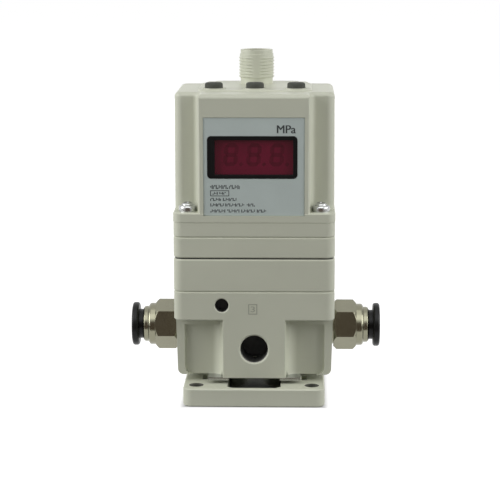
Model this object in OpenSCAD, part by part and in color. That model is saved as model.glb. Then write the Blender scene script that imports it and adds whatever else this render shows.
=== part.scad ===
// Electro pneumatic regulator: a stack of cast and moulded layers on a flat bracket, with a digital
// display, three keys, a threaded plug connector and two push-in tube fittings.
// Millimetres, +Z up. The origin lies on the bracket's underside, below the middle of the body.
// The display faces -Y, the supply port faces -X and the outlet port faces +X.

/* [Body stack] */
// Width and depth of the square layers
body_w = 50; // [48:0.5:56]
// Radius of the layers' upright corners
body_corner_r = 3; // [2:0.1:4]
// Chamfer along the edges where two layers meet
layer_chamfer = 0.35; // [0.1:0.05:0.6]
// Chamfer along the fine joint between the base plate and the cover
joint_chamfer = 0.12; // [0.05:0.01:0.3]
// Height of the stepped lower part of the valve body
lower_h = 18.3; // [17.5:0.1:22]
// Height of the full-width collar on top of the valve body
collar_h = 9.1; // [8.5:0.1:12]
// Height of the diaphragm housing
housing_h = 10.25; // [9:0.05:14]
// Thickness of the gasket above the diaphragm housing
gasket_t = 0.4; // [0.2:0.1:1]
// How far the gasket stays inside the outline of the layers
gasket_inset = 0.5; // [0.2:0.1:1]
// Height of the pilot block
block_h = 6.45; // [5.5:0.05:9]
// Height of the base plate that carries the electronics
base_h = 4.6; // [3:0.1:7]

/* [Lower part of the valve body] */
// How far the collar stands out over the lower part's sides
collar_step = 0.4; // [0.2:0.1:1]
// How much each side of the lower part leans in towards its underside
lower_lean = 0.5; // [0:0.1:1]
// How far the collar stands out over the lower part's front and back
collar_reach = 4.6; // [3:0.1:5]
// Radius of the lower part's bottom edges at the sides
lower_edge_r = 1.8; // [0.5:0.1:3]
// Width of the front block that carries the exhaust port
boss_w = 19.2; // [16:0.1:21]
// How much each flank of the front block leans out towards its root
flank_lean = 0.6; // [0.2:0.1:1]
// Radius of the hollow at the root of each flank
flank_r = 3.2; // [1:0.1:3.8]
// Depth of the shallow recess beside the front block
recess_depth = 1.2; // [0.4:0.1:2]
// Width of the rim that is left beside and above the recess
recess_rim = 2.2; // [1.5:0.1:4]
// Radius of the recess's lower outer corner
recess_r = 2.5; // [1:0.1:4]
// Radius of the conical relief under each flank
relief_r = 1.9; // [1:0.05:2.4]
// Height of the conical relief under each flank
relief_h = 3.6; // [1:0.1:5]
// Distance of the relief's axis outside the front block's side
relief_out = 1.3; // [0.5:0.1:2]
// Distance of the relief's axis behind the front block's face
relief_in = 2.4; // [2:0.1:3]

/* [Ports] */
// Height of the supply and outlet port axes above the valve body's underside
port_h = 11.75; // [11:0.05:12.5]
// Diameter of the supply and outlet port bores
port_d = 12.7; // [12:0.1:13.5]
// Depth of the supply and outlet port bores, from the body's widest side
port_depth = 10.2; // [9.5:0.1:11]
// Diameter of the passage from the supply port to the valve chamber
supply_passage_d = 7; // [5:0.1:7.4]
// Diameter of the passage from the outlet port up to the outlet chamber
outlet_passage_d = 5.6; // [4:0.1:6]
// Distance of the outlet passage from the outlet chamber's wall
outlet_passage_in = 1; // [0.4:0.1:1.6]
// Height of the exhaust port axis above the valve body's underside
exhaust_h = 9.2; // [8:0.1:11]
// Diameter of the exhaust port
exhaust_d = 8.6; // [6:0.1:9]
// Depth of the exhaust port
exhaust_depth = 11; // [8:0.1:12]
// Diameter of the mouth chamfer of the exhaust port
exhaust_mouth_d = 9.6; // [9.2:0.1:11]
// Diameter of the passage from the valve guide to the exhaust port
exhaust_passage_d = 1.4; // [0.8:0.1:1.6]
// Distance of the exhaust passage from the end of the exhaust port
exhaust_passage_in = 3; // [1:0.1:4]
// Diameter of the pilot air passages between the layers
pilot_passage_d = 3; // [2:0.1:3.4]
// Sideways place of the pilot exhaust hole, left of the middle
pilot_x = 10.05; // [9:0.05:11]
// Height of the pilot exhaust hole above the collar's underside
pilot_h = 4.8; // [4:0.1:5.5]
// Diameter of the pilot exhaust hole
pilot_d = 4.2; // [3:0.1:4.6]
// Diameter of the mouth chamfer of the pilot exhaust hole
pilot_mouth_d = 4.8; // [4.6:0.1:5.4]
// Depth of the pilot exhaust hole
pilot_depth = 5; // [3:0.1:6]

/* [Valve] */
// Diameter of the valve chamber
chamber_d = 18; // [17:0.1:19]
// Height of the valve seat above the valve body's underside
seat_h = 16.2; // [16:0.1:17]
// Diameter of the opening in the valve seat
seat_d = 10; // [8:0.1:11]
// Diameter of the chambers above and below the diaphragm
outlet_d = 34; // [33:0.1:36]
// Height of the outlet chamber under the diaphragm
outlet_h = 4; // [3.8:0.1:5]
// Height of the pilot chamber above the diaphragm
pilot_chamber_h = 6; // [5.5:0.1:8]
// Diameter of the diaphragm
diaphragm_d = 41; // [40:0.1:43]
// Thickness of the diaphragm
diaphragm_t = 1; // [0.6:0.1:1.4]
// Room between the diaphragm's rolled bead and the parts beside it
bead_room = 0.3; // [0.1:0.1:0.6]
// Height of the diaphragm's rolled bead
bead_h = 1.6; // [1.2:0.1:2.4]
// Diameter of the plate above the diaphragm
upper_plate_d = 25; // [20:0.1:26]
// Thickness of the plate above the diaphragm
upper_plate_t = 1.5; // [1:0.1:2]
// Diameter of the plate below the diaphragm
lower_plate_d = 23; // [18:0.1:26]
// Thickness of the plate below the diaphragm
lower_plate_t = 1.2; // [0.8:0.1:1.4]
// Diameter of the valve stem
stem_d = 4.4; // [3:0.1:5]
// How far the stem's end stands out of the nut
stem_spare = 0.6; // [0.2:0.1:0.8]
// Thickness of the stem's sealing tip
tip_t = 1; // [0.6:0.1:1.6]
// Diameter of the stem's sealing tip
tip_d = 5.4; // [5.2:0.1:6.5]
// Diameter of the shoulder that carries the lower plate
shoulder_d = 7; // [6:0.1:8]
// Thickness of the shoulder
shoulder_t = 1; // [0.6:0.1:1.1]
// Width across the flats of the diaphragm nut
nut_af = 7; // [6:0.1:9]
// Thickness of the diaphragm nut
nut_t = 2.2; // [1.6:0.1:2.4]
// Diameter of the supply valve's head
valve_d = 15; // [13:0.1:16]
// Thickness of the supply valve's head
valve_t = 3; // [2:0.1:3.4]
// Diameter of the supply valve's spring hub
valve_hub_d = 7.6; // [6.8:0.1:8]
// Height of the supply valve's spring hub
valve_hub_h = 1.2; // [0.8:0.1:1.6]
// Diameter of the supply valve's guide pin
guide_pin_d = 6; // [4.5:0.1:6.4]
// Diameter of the exhaust hole through the supply valve
valve_hole_d = 3; // [2:0.1:4]
// Travel of the stem and the supply valve
valve_travel = 1.2; // [0.4:0.1:1.3]

/* [Valve guide] */
// Diameter of the guide's flange
guide_flange_d = 25.2; // [24.5:0.1:26]
// Thickness of the guide's flange
guide_flange_t = 2; // [1.2:0.1:2.4]
// Diameter of the part of the guide that shows below the retaining plate
guide_boss_d = 22; // [20:0.1:22.4]
// Height of the guide's underside above the bracket's underside
guide_boss_z = 0.4; // [0.2:0.1:2]
// Height of the guide inside the valve chamber, above its flange
guide_spigot_h = 4.4; // [4:0.1:4.8]
// Room in the blind bore below the valve's guide pin at the end of its travel
guide_bore_below = 2.8; // [1:0.1:3.5]
// Thickness of the seal ring's cord
guide_seal_t = 1.3; // [1:0.1:1.6]
// Height of the seal's groove above the guide's flange
guide_groove_z = 1.9; // [1.6:0.1:2.2]
// Diameter of the valve spring at the middle of its wire
spring_d = 9.6; // [9:0.1:11]
// Diameter of the spring wire
spring_wire_d = 0.9; // [0.5:0.1:1.1]
// Number of turns of the valve spring
spring_turns = 4; // [3:1:6]

/* [Bracket] */
// Width of the bracket, side to side
bracket_w = 44; // [42:0.5:52]
// Depth of the bracket, front to back
bracket_d = 62; // [60:0.5:70]
// Thickness of the bracket
bracket_t = 5.8; // [4.5:0.1:9]
// Radius of the bracket's upright corners
bracket_corner_r = 3; // [1:0.1:4]
// Chamfer along the bracket's edges
bracket_chamfer = 0.4; // [0.1:0.05:0.8]
// Distance of the mounting holes from the bracket's sides
mount_inset_x = 4; // [3.5:0.1:5]
// Distance of the mounting holes from the bracket's front and back
mount_inset_y = 5; // [4:0.1:6]
// Diameter of the mounting holes
mount_hole_d = 4.5; // [3:0.1:5]
// Width of the opening through the bracket
opening_w = 16.6; // [14:0.1:17]
// Chamfer at the opening's corners
opening_chamfer = 1.5; // [0.5:0.1:3]
// Thickness of the bars in front of and behind the opening
bar_t = 1.6; // [1:0.1:3]
// Room round the valve guide in the opening's round middle
opening_room = 0.5; // [0.3:0.1:1]
// Sideways place of the four narrow slots in the bracket's top
slot_x = 15.65; // [15.4:0.05:16.5]
// Width of the narrow slots
slot_w = 1.6; // [0.8:0.1:2]
// Distance of the slots' outer ends from the bracket's front and back
slot_inset = 12; // [10.5:0.1:14]
// Length of the narrow slots
slot_l = 5.6; // [3:0.1:8]
// Depth of the narrow slots
slot_depth = 1.8; // [0.8:0.1:2]
// Height of the bosses that the retaining plate rests on
boss_h = 1; // [0.6:0.1:2]
// Diameter of those bosses
boss_d = 6.4; // [5:0.1:7]
// Thickness of the retaining plate
plate_t = 1; // [0.6:0.1:1.6]
// Width of the retaining plate
plate_w = 29; // [28:0.1:30]
// Depth of the retaining plate over its ears
plate_d = 48.6; // [46:0.1:49.6]
// Width of the gap between the plate's ears
ear_gap_w = 16; // [12:0.1:18]
// Length of the plate's ears
ear_l = 4.8; // [2:0.1:5.2]
// Sideways place of the bracket screws
bracket_screw_x = 11.9; // [11.6:0.1:12.4]
// Front-to-back place of the bracket screws
bracket_screw_y = 16.8; // [15:0.1:17]

/* [Cover] */
// Height of the cover above the base plate
cover_h = 39.5; // [38:0.1:46]
// How far the sides of the cover's upper part stay inside the layers
cover_step = 0.1; // [0.1:0.05:1]
// How much each side leans in towards the top
cover_draft = 0.1; // [0.05:0.05:0.3]
// Radius along the cover's top edges
cover_edge_r = 1.5; // [0.5:0.1:2.2]
// How far the foot flange stands out over the layers
flange_out = 0.1; // [0:0.05:0.4]
// Height of the foot flange
flange_h = 3; // [2:0.1:4]
// Thickness of the side walls
wall_t = 2.2; // [1.2:0.1:2.6]
// Thickness of the front and back walls
front_wall_t = 2.4; // [1.6:0.1:2.6]
// Thickness of the roof
roof_t = 2.2; // [1.5:0.1:2.6]
// Distance of the panel's edges from the sides of the layers
panel_inset = 7.7; // [7.4:0.1:8.5]
// Radius along the panel's upright edges
panel_r = 1.3; // [0.3:0.1:1.6]
// How far the wings beside the panels stay behind the layers' front and back
wing_inset = 7.9; // [7.5:0.1:8.1]
// Radius along the wings' upright outer edges
wing_r = 2.6; // [2.6:0.1:4.5]
// Radius of the hollow between a panel's flank and the wing beside it
root_r = 1.8; // [0.8:0.1:2.2]
// Distance of the cover screws from the layers' sides
cover_screw_in_x = 4.4; // [4.2:0.1:4.6]
// Distance of the cover screws from the layers' front and back
cover_screw_in_y = 4.6; // [4.4:0.1:4.8]
// Distance of the raised deck's edges from the sides of the layers
deck_inset_x = 7.2; // [6:0.1:8]
// Distance of the deck's front edge from the front of the layers
deck_inset_front = 10; // [8.5:0.1:11]
// Distance of the deck's back edge from the back of the layers
deck_inset_back = 10.3; // [8.5:0.1:11]
// Height of the raised deck
deck_h = 0.4; // [0.4:0.1:1.5]
// Radius of the deck's corners
deck_r = 3; // [1:0.1:4]
// Width of the deck's narrower tail under the connector
deck_tail_w = 28; // [18:0.5:30]
// Distance of the tail's back edge from the back of the layers
deck_tail_inset = 3; // [2.6:0.1:6]

/* [Display] */
// Width of the faceplate
faceplate_w = 31; // [30:0.1:32]
// Height of the faceplate
faceplate_h = 30.2; // [28:0.1:31]
// Thickness of the faceplate
faceplate_t = 0.35; // [0.2:0.05:0.5]
// Depth of the faceplate's seat in the panel
faceplate_seat = 0.6; // [0.55:0.05:1]
// Height of the faceplate's lower edge above the cover's foot
faceplate_lift = 2.2; // [1.5:0.1:4]
// Width of the faceplate's margin beside the black display bezel
bezel_margin = 1.75; // [1:0.05:2.5]
// Height of the bezel
bezel_h = 13; // [12.6:0.1:15]
// Depth of the bezel, front to back
bezel_d = 2.6; // [2.2:0.1:3]
// Height of the bezel's lower edge above the faceplate's lower edge
bezel_lift = 11.5; // [9:0.1:13]
// How far the bezel stands out of the faceplate
bezel_proud = 0.1; // [0:0.05:0.3]
// Sideways place of the bezel
bezel_x = -0.5; // [-1:0.1:1]
// Radius of the bezel's corners
bezel_r = 1.2; // [0.5:0.1:1.5]
// Width of the bezel's rim beside the window
rim_x = 1.75; // [1.2:0.05:2.5]
// Width of the bezel's rim above and below the window
rim_z = 1.15; // [0.9:0.05:2]
// How far the lens lies behind the bezel's face
lens_setback = 1.2; // [0.6:0.1:1.5]
// Thickness of the lens
lens_t = 1; // [0.6:0.1:1]
// How far the lens reaches behind the bezel's rim
lens_lap = 0.5; // [0.3:0.1:0.6]
// Room round the display module inside the window
module_room = 0.3; // [0.1:0.1:1]
// Distance of the control board behind the body's face
board_setback = 7.1; // [6:0.1:7.4]
// Thickness of the circuit boards
board_t = 1.6; // [0.8:0.1:2]
// Room between the control board and the panel's side walls
board_room = 0.6; // [0.4:0.1:1.5]

/* [Keys] */
// Spacing of the three keys
key_pitch = 12.85; // [11:0.05:13]
// Distance of the keys in front of the cover's middle
key_y = 9.5; // [9:0.1:11]
// Diameter of a key
key_d = 5.6; // [4:0.1:6]
// Height of a key above the deck
key_h = 2; // [1:0.1:3]
// Radius along the key's top edge
key_edge_r = 0.7; // [0.3:0.1:1]
// Travel of a key
key_travel = 0.5; // [0.2:0.1:0.8]
// Diameter of the key's retaining flange
key_flange_d = 7; // [6.6:0.1:7.4]
// Thickness of the key's retaining flange
key_flange_t = 0.7; // [0.4:0.1:1]
// Diameter of the raised ring round each key
key_ring_d = 7.4; // [7:0.1:8.4]
// Height of the raised ring round each key
key_ring_h = 0.3; // [0.1:0.1:0.6]
// Width of a key switch
switch_w = 6; // [4:0.1:6.4]
// Height of a key switch
switch_h = 3.5; // [2:0.1:4]
// Height of the switch's plunger
plunger_h = 0.6; // [0.3:0.1:1]
// Diameter of the switch's plunger
plunger_d = 3.4; // [2:0.1:3.5]
// Room between the key board and the cover's walls
key_board_room = 1.2; // [0.5:0.1:2]
// Depth of the key board
key_board_d = 18; // [16:0.5:20]
// Distance of the posts that carry the key board from its side edges
post_inset_x = 2.4; // [2.1:0.1:2.7]
// Distance of the posts' axes from the key board's front and back edges
post_inset = 3; // [2:0.1:4]
// Diameter of those posts
post_d = 3.6; // [2:0.1:3.8]

/* [Connector] */
// Distance of the connector behind the cover's middle
connector_y = 12; // [11.5:0.1:12.5]
// Outer diameter of the connector's thread
thread_d = 10.8; // [10.5:0.1:12]
// Length of the connector's thread
thread_l = 7.7; // [6:0.1:9]
// Diameter of the plain neck under the thread
neck_d = 10.2; // [9.8:0.1:10.4]
// Height of the plain neck above the deck
neck_h = 1.9; // [1:0.1:3]
// Diameter of the plain rim above the thread
rim_d = 10.4; // [9.8:0.1:10.4]
// Height of the plain rim above the thread
rim_h = 1.3; // [0.6:0.1:2]
// Diameter of the connector's bore
socket_d = 8.6; // [8:0.1:8.8]
// Depth of the socket above the insert
socket_depth = 8; // [6:0.1:9]
// Diameter of the connector's flange under the roof
connector_flange_d = 15; // [13.5:0.1:16]
// Thickness of that flange
connector_flange_t = 1.8; // [1:0.1:2.5]
// Diameter of a contact pin
pin_d = 1; // [0.8:0.1:1.2]
// Radius round the end of a contact pin
pin_tip_r = 0.35; // [0.1:0.05:0.38]
// Diameter of the circle that the contact pins stand on
pin_circle_d = 5; // [4.4:0.1:5.6]
// How far the pins stay below the connector's rim
pin_setback = 1.5; // [0.5:0.1:3]
// How far the pins reach below the connector's flange
pin_tail = 3; // [1:0.1:4]

/* [Tube fittings] */
// Width across the flats of the fitting's hexagon
hex_af = 14; // [13.5:0.1:15]
// Length of the hexagon
hex_l = 7.3; // [5:0.1:8]
// Chamfer at the hexagon's ends, along the axis
hex_chamfer = 1; // [0.3:0.1:1.2]
// Gap between the hexagon and the body's widest side
hex_gap = 0.1; // [0.05:0.05:0.6]
// Diameter of the first neck
neck1_d = 13.5; // [12.5:0.1:13.5]
// Radius round the necks' outer edges
neck_edge_r = 0.9; // [0.2:0.1:0.9]
// Length of the first neck
neck1_l = 2.3; // [1:0.1:3]
// Diameter of the second neck
neck2_d = 11.5; // [11.2:0.1:12]
// Length of the second neck
neck2_l = 1.8; // [1.5:0.1:3]
// Length of the threaded shank inside the body
shank_l = 9.4; // [8:0.1:9.4]
// Outer diameter of the tube that the fitting takes
tube_d = 8; // [7.5:0.1:8]
// Length of the tube's seat in the fitting
tube_seat_l = 6; // [4:0.1:6.5]
// Diameter of the flow bore behind the tube
flow_d = 5.8; // [4:0.1:6.5]
// Length of the part of the chamber that holds the collet and the release ring
collet_chamber_l = 8.1; // [7.6:0.1:8.2]
// Diameter of the chamber that holds the collet and the release ring
collet_chamber_d = 10; // [9.8:0.1:10.2]
// Length of the tube seal
tube_seal_l = 2.4; // [1.5:0.1:2.6]
// Length of the collet
collet_l = 2.8; // [2:0.1:3]
// Number of slits in the collet
collet_slits = 6; // [4:1:8]
// Length of the collet's closed ring behind the slits
collet_ring_l = 1; // [0.5:0.1:1.6]
// Width of the slits in the collet
collet_slit_w = 0.6; // [0.4:0.1:1]
// Diameter of the release ring's stem
ring_stem_d = 9.5; // [9.3:0.1:9.6]
// Diameter of the release ring's flange
ring_flange_d = 14; // [12:0.1:15]
// Thickness of the release ring's flange
ring_flange_t = 2.2; // [2:0.1:3.5]
// Radius round the release ring's flange
ring_edge_r = 0.8; // [0.3:0.1:0.9]
// Free gap between the release ring's flange and the fitting
ring_gap = 1.3; // [1.1:0.1:1.8]
// Travel of the release ring
ring_travel = 1; // [0.4:0.1:1]

/* [Inside the cover] */
// Width of a pilot solenoid valve
solenoid_w = 10; // [8:0.1:11]
// Depth of a pilot solenoid valve
solenoid_d = 20; // [16:0.1:21]
// Height of a pilot solenoid valve
solenoid_h = 22; // [18:0.1:23]
// Height of the solenoid valve's foot
solenoid_foot_h = 5.5; // [3:0.1:8]
// Height of the coil above the foot
coil_h = 13; // [8:0.1:14]
// How far the coil steps in from the foot
coil_step = 1; // [0.2:0.1:2]
// Diameter of the core tube's end
core_d = 6; // [4:0.1:7]
// Spacing of the two pilot solenoid valves
solenoid_pitch = 17; // [13:0.1:20]
// Distance of the solenoid valves behind the middle
solenoid_y = 6.5; // [6:0.1:7]
// Diameter of the pressure sensor
sensor_d = 9; // [6:0.1:10]
// Height of the pressure sensor
sensor_h = 6; // [4:0.1:9]
// Diameter of the pressure sensor's cap
sensor_cap_d = 7.2; // [5:0.1:8]
// Height of the pressure sensor's foot
sensor_foot_h = 3; // [1:0.1:3.5]
// Distance of the pressure sensor in front of the middle
sensor_y = 9.6; // [9.4:0.1:10]

/* [Screws] */
// Diameter of the screw shanks
screw_d = 3; // [2.5:0.1:3]
// Diameter of the screw heads
screw_head_d = 5.6; // [5:0.1:5.8]
// Height of the screw heads
screw_head_h = 2; // [1.2:0.1:2.2]
// Radius round the top of the screw heads
screw_head_r = 0.9; // [0.3:0.1:1.1]
// Depth of the tapped holes beyond the screws' ends
tap_spare = 0.6; // [0.3:0.1:1]
// How far the cover screws reach into the pilot block
cover_screw_grip = 4.5; // [3:0.1:4.8]
// How far the bracket screws reach into the valve body
bracket_screw_grip = 5; // [3:0.1:7]
// How far the stack screws reach into the valve body
stack_screw_grip = 7; // [5:0.1:7.5]
// Distance of the stack screws from the layers' sides
stack_screw_in_x = 10.6; // [10.4:0.1:10.8]
// Distance of the stack screws from the layers' front and back
stack_screw_in_y = 3.6; // [3.4:0.1:3.8]

/* [Clearances] */
// Radial clearance of a piece that is fixed in its seat
seat_clear = 0.05; // [0.03:0.01:0.1]
// Radial clearance of the tube in the seal, the collet and the release ring
tube_clear = 0.25; // [0.22:0.01:0.3]
// Radial clearance of a running fit
running_clear = 0.06; // [0.02:0.01:0.1]
// Radial clearance of a screw in its through hole
screw_clear = 0.2; // [0.1:0.05:0.4]
// Clearance round a key in the roof
key_clear = 0.2; // [0.1:0.05:0.3]
// Gap between faces of moving pieces that meet
face_gap = 0.1; // [0.05:0.01:0.2]
// Clearance round the valve guide's boss in the retaining plate
boss_clear = 0.3; // [0.1:0.05:0.6]

/* [Hidden] */
$fn = 64;

// Overshoot of cutters past the faces they open
over = 1;
// Steps along a quarter round
arc_steps = 8;
// Sides of the wire and steps of a turn on the valve spring
wire_sides = 8;
turn_steps = 20;

// Heights of the layers
body_z0 = bracket_t + boss_h + plate_t;
collar_z0 = body_z0 + lower_h;
body_z1 = collar_z0 + collar_h;
housing_z1 = body_z1 + housing_h;
block_z0 = housing_z1 + gasket_t;
block_z1 = block_z0 + block_h;
base_z1 = block_z1 + base_h;
ledge_z = base_z1 + flange_h;
cover_z1 = base_z1 + cover_h;
roof_z0 = cover_z1 - roof_t;
deck_z1 = cover_z1 + deck_h;
face_y = body_w / 2;
lower_w_top = body_w - 2 * collar_step;
lower_w_bottom = lower_w_top - 2 * lower_lean;
lower_d = body_w - 2 * collar_reach;
stack_screw_x = face_y - stack_screw_in_x;
stack_screw_y = face_y - stack_screw_in_y;

// Places in the valve
port_z = body_z0 + port_h;
seat_z = body_z0 + seat_h;
outlet_z1 = body_z1 - diaphragm_t;
outlet_z0 = outlet_z1 - outlet_h;
outlet_passage_x = (outlet_d - outlet_passage_d) / 2 - outlet_passage_in;
valve_z1 = seat_z - face_gap;
valve_z0 = valve_z1 - valve_t;
guide_z1 = body_z0 + guide_flange_t + guide_spigot_h;
guide_bore_z = body_z0 - valve_travel - guide_bore_below;
guide_bore_d = guide_pin_d + 2 * running_clear;
groove_z = body_z0 + guide_flange_t + guide_groove_z;
stem_z0 = valve_z1 + face_gap / 2;
lower_plate_z0 = outlet_z1 - lower_plate_t;
upper_plate_z1 = body_z1 + upper_plate_t;
stem_z1 = upper_plate_z1 + nut_t + stem_spare;

// Places on the bracket
mount_pitch_x = bracket_w - 2 * mount_inset_x;
mount_pitch_y = bracket_d - 2 * mount_inset_y;
opening_d = guide_boss_d + 2 * opening_room;
slot_end = bracket_d / 2 - slot_inset;

// Places in the cover
cover_w = body_w - 2 * cover_step;
flange_w = body_w + 2 * flange_out;
panel_w = body_w - 2 * panel_inset;
cover_screw_x = face_y - cover_screw_in_x;
cover_screw_y = face_y - cover_screw_in_y;
deck_w = body_w - 2 * deck_inset_x;
deck_d = body_w - deck_inset_front - deck_inset_back;
deck_y = (deck_inset_front - deck_inset_back) / 2;
deck_tail_d = face_y - deck_tail_inset;
wing_y = face_y - wing_inset;
bezel_w = faceplate_w - 2 * bezel_margin;
window_w = bezel_w - 2 * rim_x;
window_h = bezel_h - 2 * rim_z;
module_w = window_w - 2 * module_room;
module_h = window_h - 2 * module_room;
cavity_w = cover_w - 2 * wall_t - 2 * cover_draft;
cavity_d = body_w - 2 * front_wall_t - 2 * cover_draft;
key_board_w = cavity_w - 2 * key_board_room;
post_x = key_board_w / 2 - post_inset_x;
cavity_panel_x = panel_w / 2 - wall_t - cover_draft;
cavity_wing_y = wing_y - front_wall_t - cover_draft;
board_w = 2 * (cavity_panel_x - board_room);
faceplate_z0 = base_z1 + faceplate_lift;
faceplate_y = -face_y + faceplate_seat;
bezel_z0 = faceplate_z0 + bezel_lift;
bezel_z = bezel_z0 + bezel_h / 2;
bezel_y = faceplate_y - faceplate_t - bezel_proud;
lens_y = bezel_y + lens_setback;
board_y = -face_y + board_setback;
key_flange_z1 = roof_z0 - face_gap;
key_board_z1 = key_flange_z1 - key_flange_t - key_travel - face_gap - plunger_h - switch_h;
key_board_z0 = key_board_z1 - board_t;
key_board_y = key_board_room - cavity_wing_y;
thread_z0 = deck_z1 + neck_h;
thread_z1 = thread_z0 + thread_l;
connector_z1 = thread_z1 + rim_h;
connector_z0 = roof_z0 - connector_flange_t;

// Places along a fitting's axis, counted from the body's middle
fitting_hex_x = face_y + hex_gap;
fitting_neck1_x = fitting_hex_x + hex_l;
fitting_neck2_x = fitting_neck1_x + neck1_l;
fitting_end_x = fitting_neck2_x + neck2_l;
fitting_shank_x = fitting_hex_x - shank_l - hex_gap;
collet_chamber_x = fitting_end_x - collet_chamber_l;
seal_x = collet_chamber_x - tube_seal_l;
tube_stop_x = seal_x - tube_seat_l;
tube_bore_d = tube_d + 2 * seat_clear;
tube_pass_d = tube_d + 2 * tube_clear;
ring_flange_x = fitting_end_x + ring_gap;
ring_nose_x = collet_chamber_x + collet_l + ring_travel + 2 * face_gap;

// Screw lengths
screw_hole_d = screw_d + 2 * screw_clear;
head_hole_d = screw_head_d + 2 * screw_clear;
tap_d = screw_d + 2 * seat_clear;
head_sink = screw_head_h + screw_clear;

// Colours
paint = [0.80, 0.80, 0.73];
moulding = [0.82, 0.82, 0.75];
black = [0.07, 0.07, 0.08];
nickel = [0.70, 0.66, 0.56];
zinc = [0.72, 0.74, 0.76];
brass = [0.78, 0.63, 0.30];
rubber = [0.12, 0.12, 0.12];
board_green = [0.10, 0.34, 0.20];

// Copies at four corners
module at_corners(x, y) {
    for (sx = [-1, 1], sy = [-1, 1])
        translate([sx * x, sy * y, 0])
            children();
}

// Copies at the front and, turned round, at the back
module front_and_back() {
    for (turn = [0, 180])
        rotate(turn)
            children();
}

// Turns local +Z outwards along the axis of a side port: side is -1 for supply and 1 for outlet
module at_port(side) {
    translate([0, 0, port_z])
        rotate([0, side * 90, 0])
            children();
}

// Turns a drawing of X and Z into a wall that runs along Y, from y0 backwards
module upright(y0, depth) {
    translate([0, y0 + depth, 0])
        rotate([90, 0, 0])
            linear_extrude(depth)
                children();
}

module rounded_rect(w, d, r) {
    square([w - 2 * r, d], center = true);
    square([w, d - 2 * r], center = true);
    at_corners(w / 2 - r, d / 2 - r)
        circle(r);
}

module slab(w, d, z0, z1, r) {
    translate([0, 0, z0])
        linear_extrude(z1 - z0)
            rounded_rect(w, d, r);
}

// A slab whose lower and upper edges have chamfers of c0 and c1
module chamfered_slab(w, d, z0, z1, r, c0, c1) {
    upright(r - d / 2, d - 2 * r)
        chamfered_outline(w, z0, z1, c0, c1);
    rotate(90)
        upright(r - w / 2, w - 2 * r)
            chamfered_outline(d, z0, z1, c0, c1);
    at_corners(w / 2 - r, d / 2 - r)
        rotate_extrude()
            intersection() {
                chamfered_outline(2 * r, z0, z1, c0, c1);
                translate([0, z0])
                    square([r, z1 - z0]);
            }
}

module chamfered_outline(w, z0, z1, c0, c1) {
    x = w / 2;
    polygon([
        [c0 - x, z0], [x - c0, z0], [x, z0 + c0], [x, z1 - c1],
        [x - c1, z1], [c1 - x, z1], [-x, z1 - c1], [-x, z0 + c0]
    ]);
}

module rod(d, z0, z1) {
    translate([0, 0, z0])
        cylinder(d = d, h = z1 - z0);
}

module tube(outer, inner, z0, z1) {
    difference() {
        rod(outer, z0, z1);
        rod(inner, z0 - over, z1 + over);
    }
}

// Points of an arc about c, from angle a0 to a1
function arc(c, r, a0, a1) = [
    for (i = [0 : arc_steps])
        let (a = a0 + (a1 - a0) * i / arc_steps)
            [c[0] + r * cos(a), c[1] + r * sin(a)]
];

// A round plug with a rounded top edge
module domed_rod(d, z0, z1, r) {
    rotate_extrude()
        polygon(concat([[0, z0], [d / 2, z0]], arc([d / 2 - r, z1 - r], r, 0, 90), [[0, z1]]));
}

module screw(head_z, shank_l) {
    rod(screw_d, head_z - shank_l, head_z);
    domed_rod(screw_head_d, head_z, head_z + screw_head_h, screw_head_r);
}

// Bracket and what it holds
module opening_outline() {
    x = opening_w / 2;
    y = bracket_d / 2 - bar_t;
    c = opening_chamfer;
    polygon([
        [x, y - c], [x - c, y], [c - x, y], [-x, y - c],
        [-x, c - y], [c - x, -y], [x - c, -y], [x, c - y]
    ]);
    circle(d = opening_d);
}

module mounting_bracket() {
    color(paint)
        difference() {
            union() {
                chamfered_slab(bracket_w, bracket_d, 0, bracket_t, bracket_corner_r,
                    bracket_chamfer, bracket_chamfer);
                at_corners(bracket_screw_x, bracket_screw_y)
                    rod(boss_d, bracket_t - over, bracket_t + boss_h);
            }
            translate([0, 0, -over])
                linear_extrude(bracket_t + 2 * over)
                    opening_outline();
            at_corners(mount_pitch_x / 2, mount_pitch_y / 2)
                rod(mount_hole_d, -over, bracket_t + over);
            at_corners(bracket_screw_x, bracket_screw_y) {
                rod(screw_hole_d, -over, bracket_t + boss_h + over);
                rod(head_hole_d, -over, head_sink);
            }
            front_and_back()
                for (side = [-1, 1])
                    translate([side * slot_x - slot_w / 2, -slot_end, bracket_t - slot_depth])
                        cube([slot_w, slot_l, slot_depth + over]);
        }
}

module bracket_screws() {
    color(zinc)
        at_corners(bracket_screw_x, bracket_screw_y)
            translate([0, 0, head_sink])
                rotate([180, 0, 0])
                    screw(0, body_z0 + bracket_screw_grip - head_sink);
}

module retaining_plate() {
    color(zinc)
        difference() {
            translate([-plate_w / 2, -plate_d / 2, bracket_t + boss_h])
                cube([plate_w, plate_d, plate_t]);
            front_and_back()
                translate([-ear_gap_w / 2, -plate_d / 2 - over, bracket_t])
                    cube([ear_gap_w, ear_l + over, body_z0]);
            rod(guide_boss_d + 2 * boss_clear, bracket_t, body_z0 + over);
            at_corners(bracket_screw_x, bracket_screw_y)
                rod(screw_hole_d, bracket_t, body_z0 + over);
        }
}

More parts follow.
